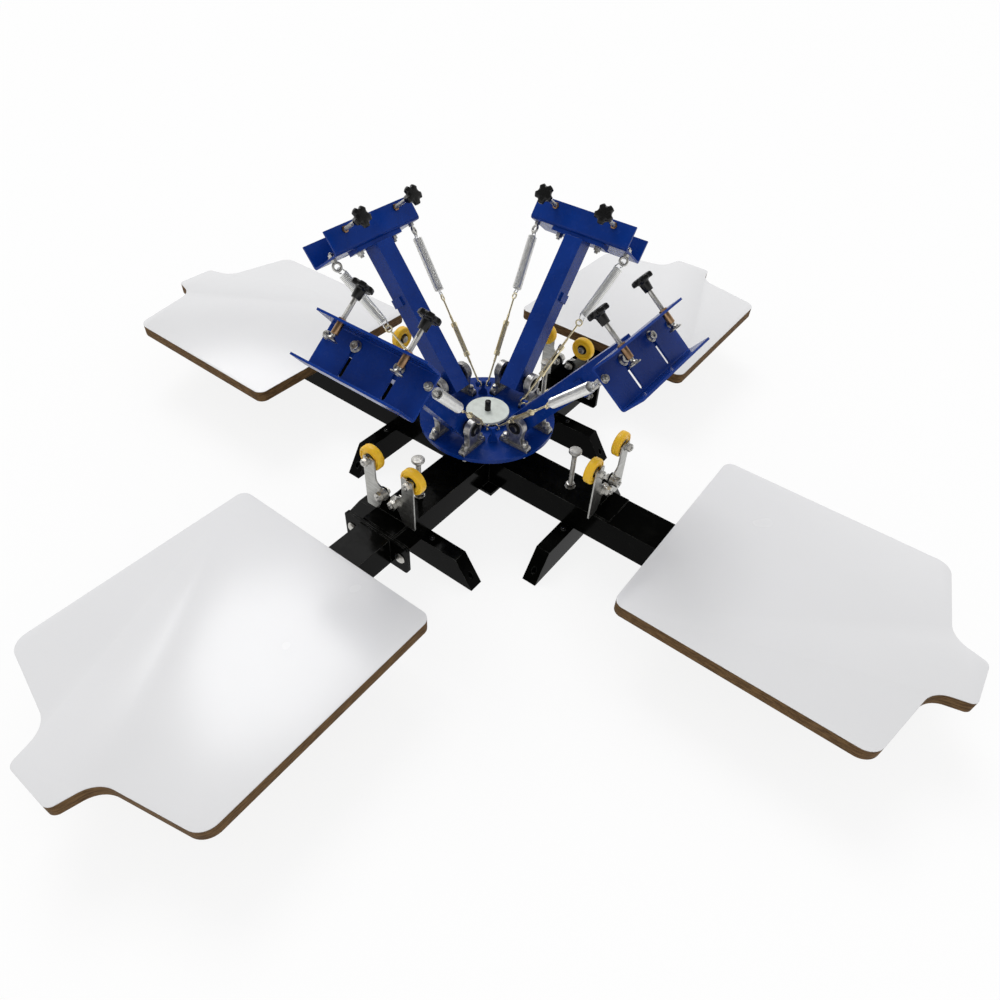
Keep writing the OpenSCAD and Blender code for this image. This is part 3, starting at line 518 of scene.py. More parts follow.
def powder_coat():
    look = Look("BluePowderCoat", (0.003, 0.030, 0.21), 0.3, Specular_IOR_Level=0.16)
    # Edges lightened in patches: partly wear, partly a painted highlight along the edges.
    edge_wear_and_highlight = look.patchy(look.edges(1.0), 60, 0.3, 0.7)
    coat = look.clouds(look.noise(14, 4), 0.35, 0.65, (0.0025, 0.028, 0.20), (0.004, 0.038, 0.26))
    look.set("Base Color", look.mixed(edge_wear_and_highlight, coat, (0.03, 0.10, 0.42)))
    look.uneven(look.noise(60, 2), 0.18, 0.32)
    look.bump(look.noise(900, 2), 0.25, 0.25)
    look.bump(look.noise(120, 3), 0.12, 0.5)
    return look.material


def black_paint():
    look = Look("BlackGlossPaint", (0.002, 0.002, 0.0018), 0.12, Specular_IOR_Level=0.03)
    # Edges turned grey in patches: partly wear, partly a painted highlight along the edges.
    edge_wear_and_highlight = look.patchy(look.edges(1.2), 40, 0.4, 0.6)
    dust = look.noise(30, 5, 0.7)
    coat = look.clouds(dust, 0.5, 0.8, (0.0016, 0.0017, 0.0014), (0.005, 0.005, 0.0044))
    look.set("Base Color", look.mixed(edge_wear_and_highlight, coat, (0.16, 0.16, 0.15)))
    look.uneven(look.noise(90, 3), 0.09, 0.2)
    look.bump(look.noise(60, 3), 0.1, 0.5)
    return look.material


def black_plastic(name, rough):
    look = Look(name, (0.006, 0.006, 0.006), rough, Specular_IOR_Level=0.3)
    look.uneven(look.noise(200, 2), rough - 0.05, rough + 0.12)
    look.bump(look.noise(500, 2), 0.1, 0.2)
    return look.material


def metal(name, colour, darker, rough, streak=(1, 1, 1), edge=0.5, grain=0.15):
    """Bare or plated metal; streak stretches its clouds, and grain roughens its surface."""
    look = Look(name, colour, rough, 1.0)
    if edge:
        look.edges(edge)
    along = look.stretched(streak)
    look.set("Base Color", look.clouds(look.noise(45, 4, 0.6, along), 0.35, 0.7, colour, darker))
    look.uneven(look.noise(160, 3, 0.6, along), rough - 0.08, rough + 0.14)
    if grain:
        look.bump(look.noise(600, 2), grain, 0.12)
    return look.material


def cast_metal():
    look = Look("CastGrey", (0.42, 0.41, 0.40), 0.36, 0.9)
    look.edges(1.0)
    skin = look.clouds(look.noise(120, 4), 0.4, 0.7, (0.46, 0.45, 0.44), (0.22, 0.22, 0.22))
    look.set("Base Color", skin)
    look.uneven(look.noise(300, 3), 0.28, 0.5)
    look.bump(look.noise(700, 3), 0.4, 0.3)
    return look.material


def tyre_rubber():
    scatter = {"Subsurface_Weight": 0.08, "Subsurface_Radius": (0.004, 0.002, 0.001)}
    look = Look("OrangeTyre", (0.98, 0.58, 0.018), 0.38, **scatter)
    rubber = look.clouds(look.noise(80, 4), 0.35, 0.7, (1.0, 0.61, 0.02), (0.94, 0.52, 0.012))
    look.set("Base Color", rubber)
    look.uneven(look.noise(240, 3), 0.3, 0.5)
    look.bump(look.noise(500, 2), 0.2, 0.2)
    return look.material


def laminated_board():
    """White laminate with a brown fibreboard edge below it."""
    look = Look("LaminatedBoard", (0.80, 0.80, 0.83), 0.3)
    look.edges(0.8)
    height = look.node("ShaderNodeSeparateXYZ", Vector=look.place).outputs["Z"]
    seam = pallet_top - laminate_t
    white = look.between(height, (seam - 0.2) * MM, seam * MM, 0, 1)
    layers = look.noise(45, 5, 0.7, look.stretched((1, 1, 9)))
    fibre = look.clouds(layers, 0.4, 0.6, (0.072, 0.038, 0.015), (0.185, 0.108, 0.046))
    smears = look.noise(3.5, 3, 0.6)
    face = look.clouds(smears, 0.35, 0.7, (0.78, 0.78, 0.79), (0.765, 0.765, 0.775))
    look.set("Base Color", look.mixed(white, fibre, face))
    gloss = look.between(look.noise(6, 2), 0.2, 0.8, 0.22, 0.28)
    matt = look.between(layers, 0.3, 0.7, 0.75, 0.95)
    look.set("Roughness", blend(look.tree, "FLOAT", white, matt, gloss))
    look.set("Specular IOR Level", look.between(white, 0, 1, 0.15, 0.5))
    look.bump(look.noise(1.6, 1), 0.2, 2.0)
    look.bump(layers, 0.2, 0.3)
    return look.material


def fibreboard():
    look = Look("Fibreboard", (0.17, 0.10, 0.055), 0.85)
    layers = look.noise(25, 5, 0.7, look.stretched((1, 1, 30)))
    fibre = look.clouds(layers, 0.35, 0.65, (0.12, 0.07, 0.035), (0.22, 0.14, 0.075))
    look.set("Base Color", fibre)
    look.bump(layers, 0.3, 0.4)
    return look.material


def off_white():
    look = Look("OffWhitePaint", (0.74, 0.79, 0.73), 0.42, Coat_Weight=0.2, Coat_Roughness=0.3)
    look.edges(0.6)
    paint = look.clouds(look.noise(70, 5), 0.4, 0.75, (0.76, 0.81, 0.75), (0.62, 0.66, 0.60))
    look.set("Base Color", paint)
    look.bump(look.noise(300, 3), 0.2, 0.2)
    return look.material


BLUE = powder_coat()
BLACK = black_paint()
PLASTIC = black_plastic("BlackPlastic", 0.2)
RUBBER_BLACK = black_plastic("BearingShield", 0.42)
SATIN = metal("SatinSteel", (0.52, 0.51, 0.48), (0.40, 0.39, 0.37), 0.45)
ZINC = metal("ZincPlate", (0.60, 0.59, 0.56), (0.38, 0.37, 0.34), 0.3)
# Near-black steel for the pivot shafts, whose ends show dark in the pillow blocks.
DARK_STEEL = metal("OiledSteel", (0.10, 0.10, 0.105), (0.05, 0.05, 0.05), 0.3)
STEEL = metal("GreySteel", (0.50, 0.50, 0.48), (0.33, 0.33, 0.31), 0.34, (1, 1, 6))
BRONZE = metal("Bronze", (0.40, 0.25, 0.14), (0.22, 0.13, 0.07), 0.26)
YELLOW_ZINC = metal("YellowZinc", (0.84, 0.75, 0.50), (0.72, 0.62, 0.40), 0.3, grain=0)
SPRING = metal("SpringSteel", (0.86, 0.86, 0.84), (0.78, 0.78, 0.76), 0.34, edge=0, grain=0)
CAST = cast_metal()
ORANGE = tyre_rubber()
BOARD = laminated_board()
FIBRE = fibreboard()
WHITE = off_white()


def wear(material, nodes):
    """Gives CAD nodes their material."""
    for name in nodes:
        obj = frame["nodes"][name]
        if not obj.material_slots:
            obj.data.materials.append(None)
        for s in obj.material_slots:
            s.link = "OBJECT"
            s.material = material


wear(BLACK, ["cross_frame", "outer_tubes", "feet", "bearing_housing"])
wear(PLASTIC, ["tube_plugs"])
wear(STEEL, ["roller_plates"])
wear(FIBRE, ["pallet_battens"])
wear(BLUE, ["turret_disc"])
for side in SIDES:
    wear(BLUE, [f"arm_{side}", f"clamp_channel_{side}"])


# Pallets
def fillet(before, corner, after, radius):
    """Points that round a corner with an arc."""
    steps = 10
    a = (before - corner).normalized()
    b = (after - corner).normalized()
    half = a.angle(b) / 2
    start = corner + a * (radius / math.tan(half))
    end = corner + b * (radius / math.tan(half))
    middle = corner + (a + b).normalized() * (radius / math.sin(half))
    points = []
    for k in range(steps + 1):
        chord = start.lerp(end, k / steps) - middle
        points.append(middle + chord.normalized() * radius)
    return points


def board_outline():
    """A pallet's outline from its corners, each a place and a radius."""
    corners = [
        (pallet_in, pallet_half, pallet_corner),
        (pallet_shoulder, pallet_half, shoulder_corner),
        (neck_root, neck_root_half, neck_corner),
        (pallet_out, neck_tip_half, tip_corner),
    ]
    corners += [(x, -y, r) for x, y, r in reversed(corners)]
    outline = []
    for k, (x, y, r) in enumerate(corners):
        before, after = corners[k - 1], corners[(k + 1) % len(corners)]
        arc = fillet(Vector(before[:2]), Vector((x, y)), Vector(after[:2]), r)
        outline += [(p.x, p.y) for p in arc]
    return outline


def board():
    """A pallet: a fibreboard core with eased edges under a laminate with a thin bevel."""
    m = Mesh()
    outline = board_outline()
    low = pallet_top - pallet_t
    seam = pallet_top - laminate_t
    core = [(low, 0.9), (low + 0.3, 0.3), (low + 0.9, 0), (seam - 0.1, 0), (seam, 0.15)]
    top = pallet_top
    laminate = [(seam + 0.05, 0), (top - 0.35, 0), (top - 0.1, 0.15), (top, 0.45)]
    m.loft([[(x, y, z) for x, y in inward(outline, by)] for z, by in core + laminate])
    return m


pallet = board()
for side in SIDES:
    hidden = [f"pallet_{side}"]
    piece(f"board_{side}", pallet, BOARD, "frame", hidden, at(side))


# Springs and turnbuckles
def hook(z, up):
    """A spring's hook about height z, open beside the coil; up is 1 at its lower end, else -1."""
    turn = [math.radians(a) for a in range(-165, 51, 12)]
    return [(hook_r * math.sin(a), 0, z - up * hook_r * math.cos(a)) for a in turn]


def coil(low, high):
    """A close-wound coil from low to high."""
    steps_round = 18
    steps = math.floor((high - low) / (2 * wire_r + 0.05)) * steps_round
    turn = [2 * math.pi * i / steps_round for i in range(steps + 1)]
    return [(*polar(coil_r, a), low + (high - low) * i / steps) for i, a in enumerate(turn)]


def spring_wire(length):
    """A spring from the turnbuckle's ring to the eye, on a pull of this length."""
    play = 0.3
    low = ring_at + (ring_r - ring_wire - wire_r - play) + hook_r
    high = length - (eye_ring_r - eye_wire - wire_r - play) - hook_r
    start = [(5.6, 0, low + 2.2), (6.5, 0.4, low + 5.4)]
    end = [(6.5, 0.4, high - 5.4), (5.6, 0, high - 2.2)]
    turns = coil(low + coil_lead - 1, high - coil_lead + 1)
    return hook(low, 1) + start + turns + end + hook(high, -1)[::-1]


def turnbuckle(pull):
    """The loop on the anchor, the threaded link, the open body and the ring."""
    m = Mesh()
    m.torus(loop_r, loop_wire, pull.facing(pull.swing) @ ALONG_X)
    line = pull.facing(pull.eye_plane)
    shank_r = loop_wire + 0.5
    m.rod(loop_r, sleeve_at - 8, shank_r, line, 0.3)
    m.thread(sleeve_at - 14, sleeve_at + thread_in, link_r, line)
    half = math.degrees(math.asin(sight_half / body_r))
    for turn in (0, 180):
        bar = sector(link_r + 0.5, body_r, turn + half, turn + 180 - half)
        ends = [(sleeve_at + body_hex_h - 1, 0), (sleeve_to - body_hex_h + 1, 0)]
        m.prism(bar, ends, line)
    for low in (sleeve_at, sleeve_to - body_hex_h):
        m.hexagon(low, low + body_hex_h, body_hex_r, line, both=True)
    m.thread(sleeve_to - thread_in, sleeve_to + 16, link_r, line)
    m.rod(sleeve_to + 12, ring_at - ring_r, shank_r, line, 0.3)
    m.torus(ring_r, ring_wire, line @ shift(0, 0, ring_at) @ ALONG_X)
    return m


for number, s in PAIR.items():
    pull = Pull(s)
    wire = Mesh()
    in_ring = pull.facing(pull.eye_plane) @ Matrix.Rotation(math.pi / 2, 4, "Z")
    wire.sweep(spring_wire(pull.length), wire_r, 8, in_ring)
    buckle = turnbuckle(pull)
    for side in SIDES:
        tag = f"{side}_{number}"
        body = f"{side}_pull_{number}"
        piece(f"coil_spring_{tag}", wire, SPRING, body, [f"spring_{tag}"], at(side))
        hidden = [f"turnbuckle_{tag}"]
        piece(f"stretcher_{tag}", buckle, YELLOW_ZINC, body, hidden, at(side))


# Clamp screws
def knob_outline():
    """A star of round hollows cut out of a disc."""
    hollow_at = knob_r + 3.2
    hollow_r = 7.6
    lobe = 2 * math.pi / knob_lobes
    outline = []
    for a in angles(120):
        off = (a + lobe / 2) % lobe - lobe / 2
        aside = hollow_at * math.sin(off)
        reach = knob_r
        if abs(aside) < hollow_r:
            reach = min(reach, hollow_at * math.cos(off) - math.sqrt(hollow_r**2 - aside**2))
        outline.append(polar(reach, a))
    return outline


def knob():
    """A star knob with rounded edges and a neck."""
    m = Mesh()
    below = [(0, 2.4), (0.5, 1), (1.5, 0.2), (2.6, 0)]
    above = [(6.4, 0), (7.8, 0.5), (8.9, 1.7), (9.6, 3.8), (9.9, 7)]
    m.prism(knob_outline(), below + above, shift(0, 0, knob_z))
    neck = [(7.0, -knob_neck), (7.4, -knob_neck + 0.6), (8.6, -2), (10.5, 0), (11.5, 1)]
    m.lathe(neck, shift(0, 0, knob_z), 40)
    return m


def clamp_rod():
    """The threaded rod between knob and sleeve, and the pad at its end."""
    m = Mesh()
    neck_z = knob_z - knob_neck
    sleeve_z = flange_inner - sleeve_len
    m.thread(pad_top - 1, sleeve_z - 2, bolt_r)
    m.rod(sleeve_z - 4, neck_z + 1, bolt_r - 0.2)
    m.thread(channel_up + 2, neck_z - 12, bolt_r)
    hub = [(bolt_r + 1, pad_top + 4), (bolt_r + 3, pad_top + 2), (bolt_r + 3.4, pad_top)]
    low = pad_top - pad_t
    rim = [(pad_r - 1, pad_top), (pad_r, pad_top - 0.7), (pad_r, low + 0.5), (pad_r - 0.8, low)]
    m.lathe(hub + rim + [(3, low)], sides=40)
    return m


star = knob()
screw = clamp_rod()
for side in SIDES:
    for number, s in PAIR.items():
        place = at(side) @ on_arm() @ shift(screw_u, s * screw_t, 0)
        tag = f"{side}_{number}"
        body = f"{side}_screw_{number}"
        hidden = [f"clamp_screw_{tag}"]
        piece(f"star_knob_{tag}", star, PLASTIC, body, hidden, place)
        piece(f"clamp_rod_{tag}", screw, ZINC, body, (), place)


# Fittings of an arm
def channel_bolt(m, s):
    """A socket screw through the channel's slot, with its nut behind the end plate."""
    bolt = shift(arm_end, s * channel_bolt_t, slot_top) @ ALONG_X
    m.hexagon(-14.5, -8, hex_r, bolt, both=True)
    m.thread(-19, -14, bolt_r, bolt)
    m.washer(4, washer_t, 10, bolt_r + 0.2, bolt)
    m.washer(5.6, 1.4, 8.5, bolt_r + 0.2, bolt)
    head = [(7, 7), (7.5, 7.6), (7.5, 11), (6.8, 11.8), (4.2, 11.8), (4.0, 9.5), (3, 9.3)]
    m.lathe(head, bolt, 36)


def eye_bolt(m, s):
    """The eye that a spring hooks into, turned to the spring, with nuts on plate and channel."""
    eye = shift(eye_u, s * eye_t, -eye_drop)
    a = math.radians(raised)
    down = -Pull(s).way
    tilt = math.atan2(down.z * math.cos(a) - down.x * math.sin(a), down.y)
    m.torus(eye_ring_r, eye_wire, eye @ Matrix.Rotation(tilt, 4, "X"), 14, 48)
    stem = eye @ ALONG_X
    plate = arm_end - eye_u
    web = web_in - eye_u
    m.rod(eye_ring_r + 0.5, 12, eye_stem_r, stem, 0.4)
    m.thread(11, web + 9, eye_stem_r, stem, 1.0, 0.4)
    m.hexagon(plate - 5, plate, 6, stem, both=True)
    m.hexagon(web + 1.2, web + 6, 6.5, stem, both=True)
    m.washer(web, 1.2, 7.5, eye_stem_r + 0.1, stem)


def fittings():
    m = Mesh()
    for s in PAIR.values():
        channel_bolt(m, s)
        eye_bolt(m, s)
    return m


def sleeves():
    """The bronze sleeve nuts that the clamp screws run in."""
    m = Mesh()
    low = flange_inner - sleeve_len
    profile = [
        (sleeve_r - 1.4, low), (sleeve_r - 0.3, low + 0.6), (sleeve_r, low + 1.4),
        (sleeve_r, flange_inner),
    ]
    for s in PAIR.values():
        spot = shift(screw_u, s * screw_t, 0)
        m.lathe(profile, spot, 36)
        m.hexagon(channel_up, channel_up + 3, sleeve_r + 1, spot)
    return m


def pivot_shaft():
    m = Mesh()
    m.rod(-shaft_half, shaft_half, shaft_r, ALONG_Y, 1.2)
    return m


arm_parts = {
    "fittings": (fittings(), ZINC),
    "sleeves": (sleeves(), BRONZE),
    "pivot_shaft": (pivot_shaft(), DARK_STEEL),
}
for name, (mesh, material) in arm_parts.items():
    for side in SIDES:
        hidden = [f"arm_fittings_{side}"] if name == "fittings" else ()
        place = at(side) @ on_arm()
        piece(f"{name}_{side}", mesh, material, f"{side}_arm", hidden, place)


# Rollers
def tyre():
    """A tyre with a ring groove in each face."""
    m = Mesh()
    half = roller_w / 2
    face = [
        (hub_r, half - 2), (hub_r + 1.5, half - 0.4), (hub_r + 2.5, half), (16.4, half),
        (17.2, half - 1), (19.6, half - 1), (20.4, half), (roller_r - 2.4, half),
        (roller_r - 1, half - 0.8), (roller_r, half - 2.6),
    ]
    m.lathe([(r, -z) for r, z in face] + face[::-1], ALONG_X, 72, loop=True)
    return m


def bearing():
    """The bearing's inner rings, one at each face."""
    m = Mesh()
    for z in (-1, 1):
        m.washer(3.7, 1.8, 6.4, bore, ALONG_X @ Matrix.Scale(z, 4, (0, 0, 1)))
    return m


def shields():
    m = Mesh()
    m.lathe([(5.5, -4.7), (hub_r, -5), (hub_r, 5), (5.5, 4.7)], ALONG_X, 48, loop=True)
    return m


wheel_parts = {
    "tyre": (tyre(), ORANGE, "orange_tyre"),
    "bearing": (bearing(), ZINC, "zinc_fasteners"),
    "shield": (shields(), RUBBER_BLACK, "black_plastic"),
}
for name, (mesh, material, slot) in wheel_parts.items():
    for side in SIDES:
        for number, s in PAIR.items():
            place = at(side) @ shift(roller_at, s * axle_t, axle_z)
            hidden = [f"roller_{side}_{number}"] if name == "tyre" else ()
            body = f"{side}_roller_{number}"
            piece(f"{name}_{side}_{number}", mesh, material, body, hidden, place)


# Fasteners of the frame
def flange_bolt(m, bolt):
    """A domed bolt through the joint's two flanges, with its nut behind them."""
    dome = [(10.6, 0), (11.2, 0.8), (10.6, 2), (8.4, 4), (5, 5.4), (1, 6)]
    m.lathe([(r, 2 * flange_t + h) for r, h in dome], bolt, 40)
    back = bolt @ Matrix.Rotation(math.pi, 4, "X")
    end = stack(m, back, 0, [("washer", washer_t, 9), ("split", 2, 7), ("nut", 6.5, hex_r)])
    m.thread(end - 2, end + 3, bolt_r, back)


def plate_bolt(m, bolt):
    """The clamping bolt of a roller plate, with large washers under its nut."""
    washers = [("washer", 2, 12.6), ("washer", 2, 11.4), ("split", 2.6, 9.6)]
    end = stack(m, bolt, 0, washers + [("nut", 7.4, 10)])
    m.thread(end - 2, end + 3.5, bolt_r, bolt)
    m.hexagon(-14, -8.6, hex_r, bolt, both=True)
    m.washer(-8.6, washer_t, 9, bore, bolt)


def axle_bolt(m, bolt):
    """A roller's axle: nut on the plate, spacer, and round head beyond the roller."""
    end = stack(m, bolt, 0, [("washer", washer_t, 9.4), ("split", 2, 7.4), ("nut", 6.4, 8)])
    m.thread(end - 2, end + 2.2, bolt_r, bolt)
    m.rod(-19, 1, bolt_r, bolt, 0.3)
    m.lathe([(4, -7.1), (6, -7.1), (6, -3.1), (4, -3.1)], bolt)
    m.lathe([(4, -24.3), (6.6, -24.3), (7.2, -23.6), (7.2, -20), (6.8, -18.9), (4, -18.9)], bolt)


def foot_bolt(m, black, head):
    """A black button head, with bright steel in its socket as a painted glint."""
    button = [(6.4, 0), (6.5, 0.6), (5.8, 2), (4.6, 2.8), (2.9, 3), (2.7, 1.6), (0.5, 1.5)]
    black.lathe(button, head)
    # Bright steel in the socket: a painted glint on the black head.
    m.hexagon(1.4, 2.4, 2.6, head)


def stop_screw(m, pads, screw):
    """The screw that a lowered arm rests on, with its lock nut, and its flared head."""
    m.thread(tube_top - 12, stop_top - 9, stop_thread_r, screw)
    nut_low = tube_top + washer_t
    m.washer(tube_top, washer_t, 10.5, stop_thread_r + 0.2, screw)
    m.hexagon(nut_low, tube_top + 9, 9.2, screw, both=True)
    r = stop_head_r
    flare = [(5.2, -15), (6.2, -14), (7.4, -11), (r - 1, -6.6), (r, -5.4)]
    crown = [(r, -1.8), (r - 0.9, -0.6), (r - 2.6, -0.1), (1, 0)]
    pads.lathe([(x, stop_top + z) for x, z in flare + crown], screw, 48)


def frame_fasteners():
    m, black, pads = Mesh(), Mesh(), Mesh()
    for side in SIDES:
        for s in PAIR.values():
            if side in ("front", "back"):
                spot = shift(joint_r, s * flange_bolt_t, flange_bolt_z)
                flange_bolt(m, at(side) @ spot @ ALONG_X)
            face = plate_r + plate_t
            plate_bolt(m, at(side) @ shift(face, s * plate_bolt_t, plate_bolt_z) @ ALONG_X)
            axle_bolt(m, at(side) @ shift(face, s * axle_t, axle_z) @ ALONG_X)
            foot_bolt(m, black, at(side) @ shift(foot_r, s * foot_bolt_t, foot_h))
        stop_screw(m, pads, at(side) @ shift(stop_r, 0, 0))
    for x in (-spindle_bolt_at, spindle_bolt_at):
        for y in (-spindle_bolt_at, spindle_bolt_at):
            flange = tube_top + post_flange_t
            m.hexagon(flange, flange + 4, 6.5, shift(x, y, 0))
    piece("frame_fasteners", m, ZINC, "frame", ["frame_bolts"])
    piece("foot_bolt_heads", black, PLASTIC, "frame")
    piece("stop_pads", pads, SATIN, "frame")


def turret_fasteners():
    """The pillow blocks' bolts, with their heads under the disc."""
    m = Mesh()
    top = disc_top + block_foot
    for side in SIDES:
        for s in PAIR.values():
            for x in block_bolts_at:
                bolt = at(side) @ shift(x, s * block_t, 0)
                washers = [("washer", washer_t, 8), ("split", 1.8, 6.6)]
                end = stack(m, bolt, top, washers + [("nut", 5, 6.6)])
                tip = [(4.6, end - 0.4), (4.4, end + 0.5), (2.5, end + 1.2), (0.6, end + 1.4)]
                m.lathe(tip, bolt)
                m.hexagon(disc_z - 6.5, disc_z, 6.5, bolt, both=True)
                m.thread(disc_z - 11.5, disc_z - 6, bolt_r, bolt)
    piece("turret_fasteners", m, ZINC, "turret", ["block_bolts"])


# Washer, cap and spindle
def spindle_pieces():
    washer, cap, post = Mesh(), Mesh(), Mesh()
    low, top = boss_top, boss_top + hold_down_t
    r = hold_down_r
    rim = [(r - 1, low), (r, low + 0.8), (r, low + 5), (r - 0.9, top)]
    washer.lathe([(cap_r, low)] + rim + [(cap_r, low + 6.2)], sides=96)
    side = [(cap_r + 0.3, top), (cap_r, top + 0.8), (cap_r, top + 19.5)]
    crown = [(cap_r - 0.4, top + 21), (cap_r - 1.4, top + 22), (1.5, top + 22.3)]
    cap.lathe(side + crown, sides=40)
    post.lathe([(post_r, tube_top), (post_r, boss_top)], sides=64)
    h = post_flange_half
    square = [(-h, -h), (h, -h), (h, h), (-h, h)]
    flange = tube_top + post_flange_t
    post.prism(square, [(tube_top, 0), (flange - 0.6, 0), (flange, 0.6)])
    piece("hold_down_washer", washer, WHITE, "frame", ["spindle"])
    piece("spindle_cap", cap, PLASTIC, "frame")
    piece("spindle_post", post, BLACK, "frame")


# Pillow blocks
def block_outline():
    """A pillow block from the side: feet that curve up into the arch round its bearing."""
    x = -block_half
    half = [(x, 0), (x, 6), (x + 0.7, 8.6), (x + 2.5, 10.2), (x + 5, 10.8)]
    ends = [Vector(p) for p in ((-25, 11), (-14, 11.6), (-14.4, 24), (-18.1, 37.6))]
    for k in range(11):
        t = k / 10
        weights = ((1 - t) ** 3, 3 * t * (1 - t) ** 2, 3 * t * t * (1 - t), t**3)
        half.append(tuple(sum((w * e for w, e in zip(weights, ends)), Vector((0, 0)))))
    for k in range(1, 15):
        x, y = polar(block_arch, math.radians(205 - 115 * k / 14))
        half.append((x, block_axis + y))
    return half + [(-x, y) for x, y in reversed(half[:-1])]


def block(m, outline, foot):
    """A casting on its foot's place: web, raised rim, bearing ring and bolt bosses."""
    face = foot @ Matrix.Rotation(math.pi / 2, 4, "X")
    m.prism(outline, [(-block_web_half, 0.1), (block_web_half, 0.1)], face)
    half = block_w / 2
    rim = [
        [(*p, -half + 0.6), (*p, half - 0.6), (*p, half - 0.6), (*q, half - 0.2), (*q, -half + 0.2)]
        for p, q in zip(outline, inward(outline, block_rim))
    ]
    m.loft(rim, face, loop=True)
    ring = [(14.1, -7), (19.4, -7), (20.3, -6), (20.3, 6), (19.4, 7), (14.1, 7)]
    m.lathe(ring, face @ shift(0, block_axis, 0), 56, loop=True)
    boss = [(0.5, 0), (7, 0), (7.2, 0.8), (7, 10.4), (6.4, 11), (0.5, 11)]
    for x in (-block_boss_at, block_boss_at):
        m.lathe(boss, foot @ shift(x, 0, 0), 32)
    x, y = block_half, half
    base = [(-x, -y), (x, -y), (x, y), (-x, y)]
    m.prism(base, [(0, 0.3), (0.4, 0), (4.4, 0), (5.4, 0.9)], foot)


def insert(m, axis):
    """A bearing insert: outer and inner ring, with a seal at each face."""
    m.lathe([(10.6, -6), (14, -6.4), (14, 6.4), (10.6, 6)], axis, 56, loop=True)
    m.lathe([(8.1, -8), (10.4, -8), (10.4, 8), (8.1, 8)], axis, 56, loop=True)
    for z in (5.8, -5.8):
        m.torus(12.2, 1.3, axis @ shift(0, 0, z), 10, 48)


def blocks():
    castings, inserts = Mesh(), Mesh()
    outline = block_outline()
    for side in SIDES:
        for s in PAIR.values():
            foot = at(side) @ shift(pivot_r, s * block_t, disc_top)
            block(castings, outline, foot)
            face = foot @ Matrix.Rotation(math.pi / 2, 4, "X")
            insert(inserts, face @ shift(0, block_axis, 0))
    piece("pillow_block_castings", castings, CAST, "turret", ["pillow_blocks"])
    piece("block_bearings", inserts, RUBBER_BLACK, "turret")


frame_fasteners()
turret_fasteners()
spindle_pieces()
blocks()


# Floor, light and camera
def shown(tree, *rays):
    """1 for the given kinds of rays."""
    path = tree.nodes.new("ShaderNodeLightPath")
    total = path.outputs[rays[0]]
    for ray in rays[1:]:
        larger = tree.nodes.new("ShaderNodeMath")
        larger.operation = "MAXIMUM"
        tree.links.new(total, larger.inputs[0])
        tree.links.new(path.outputs[ray], larger.inputs[1])
        total = larger.outputs[0]
    return total


def pale_floor():
    """A pale floor that glows white in what the camera and reflections see, under its shadows."""
    glow = 0.86
    bpy.ops.mesh.primitive_plane_add(size=30)
    floor = bpy.context.object
    floor.name = "floor"
    material = bpy.data.materials.new("PaleFloor")
    material.use_nodes = True
    tree = material.node_tree
    shader = tree.nodes["Principled BSDF"]
    shader.inputs["Base Color"].default_value = (0.94, 0.94, 0.94, 1)
    shader.inputs["Roughness"].default_value = 0.9
    white = tree.nodes.new("ShaderNodeEmission")
    white.inputs["Color"].default_value = (1, 1, 1, 1)
    share = tree.nodes.new("ShaderNodeMath")
    share.operation = "MULTIPLY"
    share.inputs[1].default_value = glow
    seen = shown(tree, "Is Camera Ray", "Is Glossy Ray", "Is Transmission Ray")
    tree.links.new(seen, share.inputs[0])
    mix = tree.nodes.new("ShaderNodeMixShader")
    tree.links.new(share.outputs[0], mix.inputs[0])
    tree.links.new(shader.outputs[0], mix.inputs[1])
    tree.links.new(white.outputs[0], mix.inputs[2])
    tree.links.new(mix.outputs[0], tree.nodes["Material Output"].inputs[0])
    floor.data.materials.append(material)


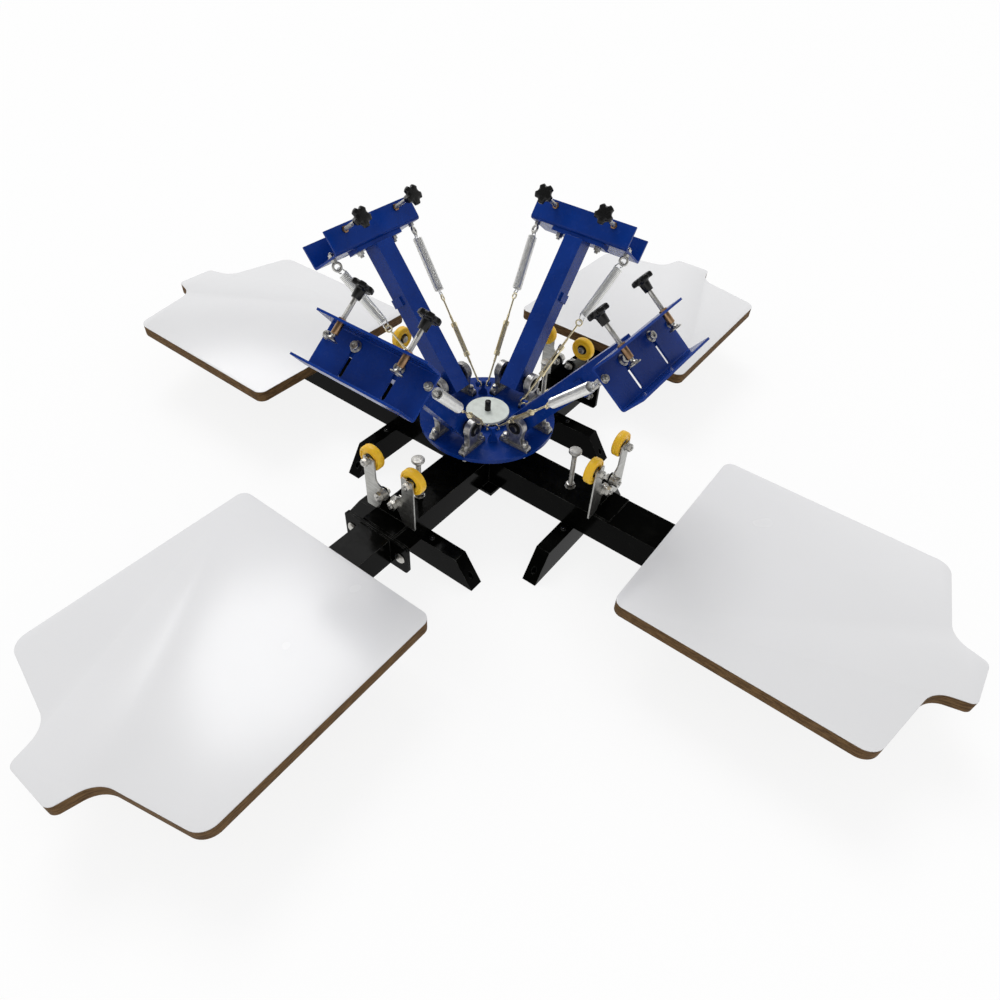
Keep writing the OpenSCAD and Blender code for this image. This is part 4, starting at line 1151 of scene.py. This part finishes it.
def world():
    """White for the camera, white to dark overhead for gloss, and even for diffuse light."""
    w = bpy.data.worlds.new("Studio")
    bpy.context.scene.world = w
    w.use_nodes = True
    tree = w.node_tree
    sky = tree.nodes["Background"]
    way = tree.nodes.new("ShaderNodeTexCoord")
    height = tree.nodes.new("ShaderNodeSeparateXYZ")
    tree.links.new(way.outputs["Generated"], height.inputs[0])
    overhead = tree.nodes.new("ShaderNodeMapRange")
    tree.links.new(height.outputs["Z"], overhead.inputs["Value"])
    ends = {"From Min": 0.3, "From Max": 0.65, "To Min": 1.0, "To Max": 0.15}
    for key, value in ends.items():
        overhead.inputs[key].default_value = value
    diffuse = 0.66
    glossy = shown(tree, "Is Glossy Ray")
    lit = blend(tree, "FLOAT", glossy, diffuse, overhead.outputs["Result"])
    strength = blend(tree, "FLOAT", shown(tree, "Is Camera Ray", "Is Transmission Ray"), lit, 1)
    tree.links.new(strength, sky.inputs["Strength"])
    sky.inputs["Color"].default_value = (1, 1, 1, 1)


def light(data, way):
    """An object for a light that shines along way."""
    obj = bpy.data.objects.new(data.name, data)
    bpy.context.scene.collection.objects.link(obj)
    obj.rotation_mode = "QUATERNION"
    obj.rotation_quaternion = way.to_track_quat("-Z", "Y")
    return obj


def lamps():
    """A broad soft sun from behind the left, and a weak panel in front."""
    key = bpy.data.lights.new("key", "SUN")
    key.energy = 1.25
    key.angle = math.radians(30)
    light(key, Vector((0.45, -0.3, -0.84)))
    panel = bpy.data.lights.new("front", "AREA")
    panel.energy = 1.5
    panel.size = 0.9
    place = Vector((1.6, -2.4, 1.5))
    target = Vector((0, 0, 0.2))
    light(panel, target - place).location = place


def camera():
    """The photograph's camera, fitted to the pallets, arms and feet."""
    place = Vector((682.3, -933.4, 1087.0)) * MM
    yaw, pitch, roll = math.radians(-34.343), math.radians(44.464), math.radians(3.84)
    lens_per_width = 0.71846
    level = Vector((math.sin(yaw), math.cos(yaw), 0))
    ahead = level * math.cos(pitch) - Vector((0, 0, math.sin(pitch)))
    right = Vector((math.cos(yaw), -math.sin(yaw), 0))
    up = right.cross(ahead)
    side = math.cos(roll) * right + math.sin(roll) * up
    top = -math.sin(roll) * right + math.cos(roll) * up
    data = bpy.data.cameras.new("camera")
    data.sensor_width = 36
    data.lens = data.sensor_width * lens_per_width
    data.clip_start = 0.01
    data.clip_end = 60
    obj = bpy.data.objects.new("camera", data)
    bpy.context.scene.collection.objects.link(obj)
    turn = Matrix((side, top, -ahead)).transposed().to_4x4()
    obj.matrix_world = Matrix.Translation(place) @ turn
    bpy.context.scene.camera = obj


pale_floor()
world()
lamps()
camera()
bpy.context.scene.view_settings.view_transform = "Standard"
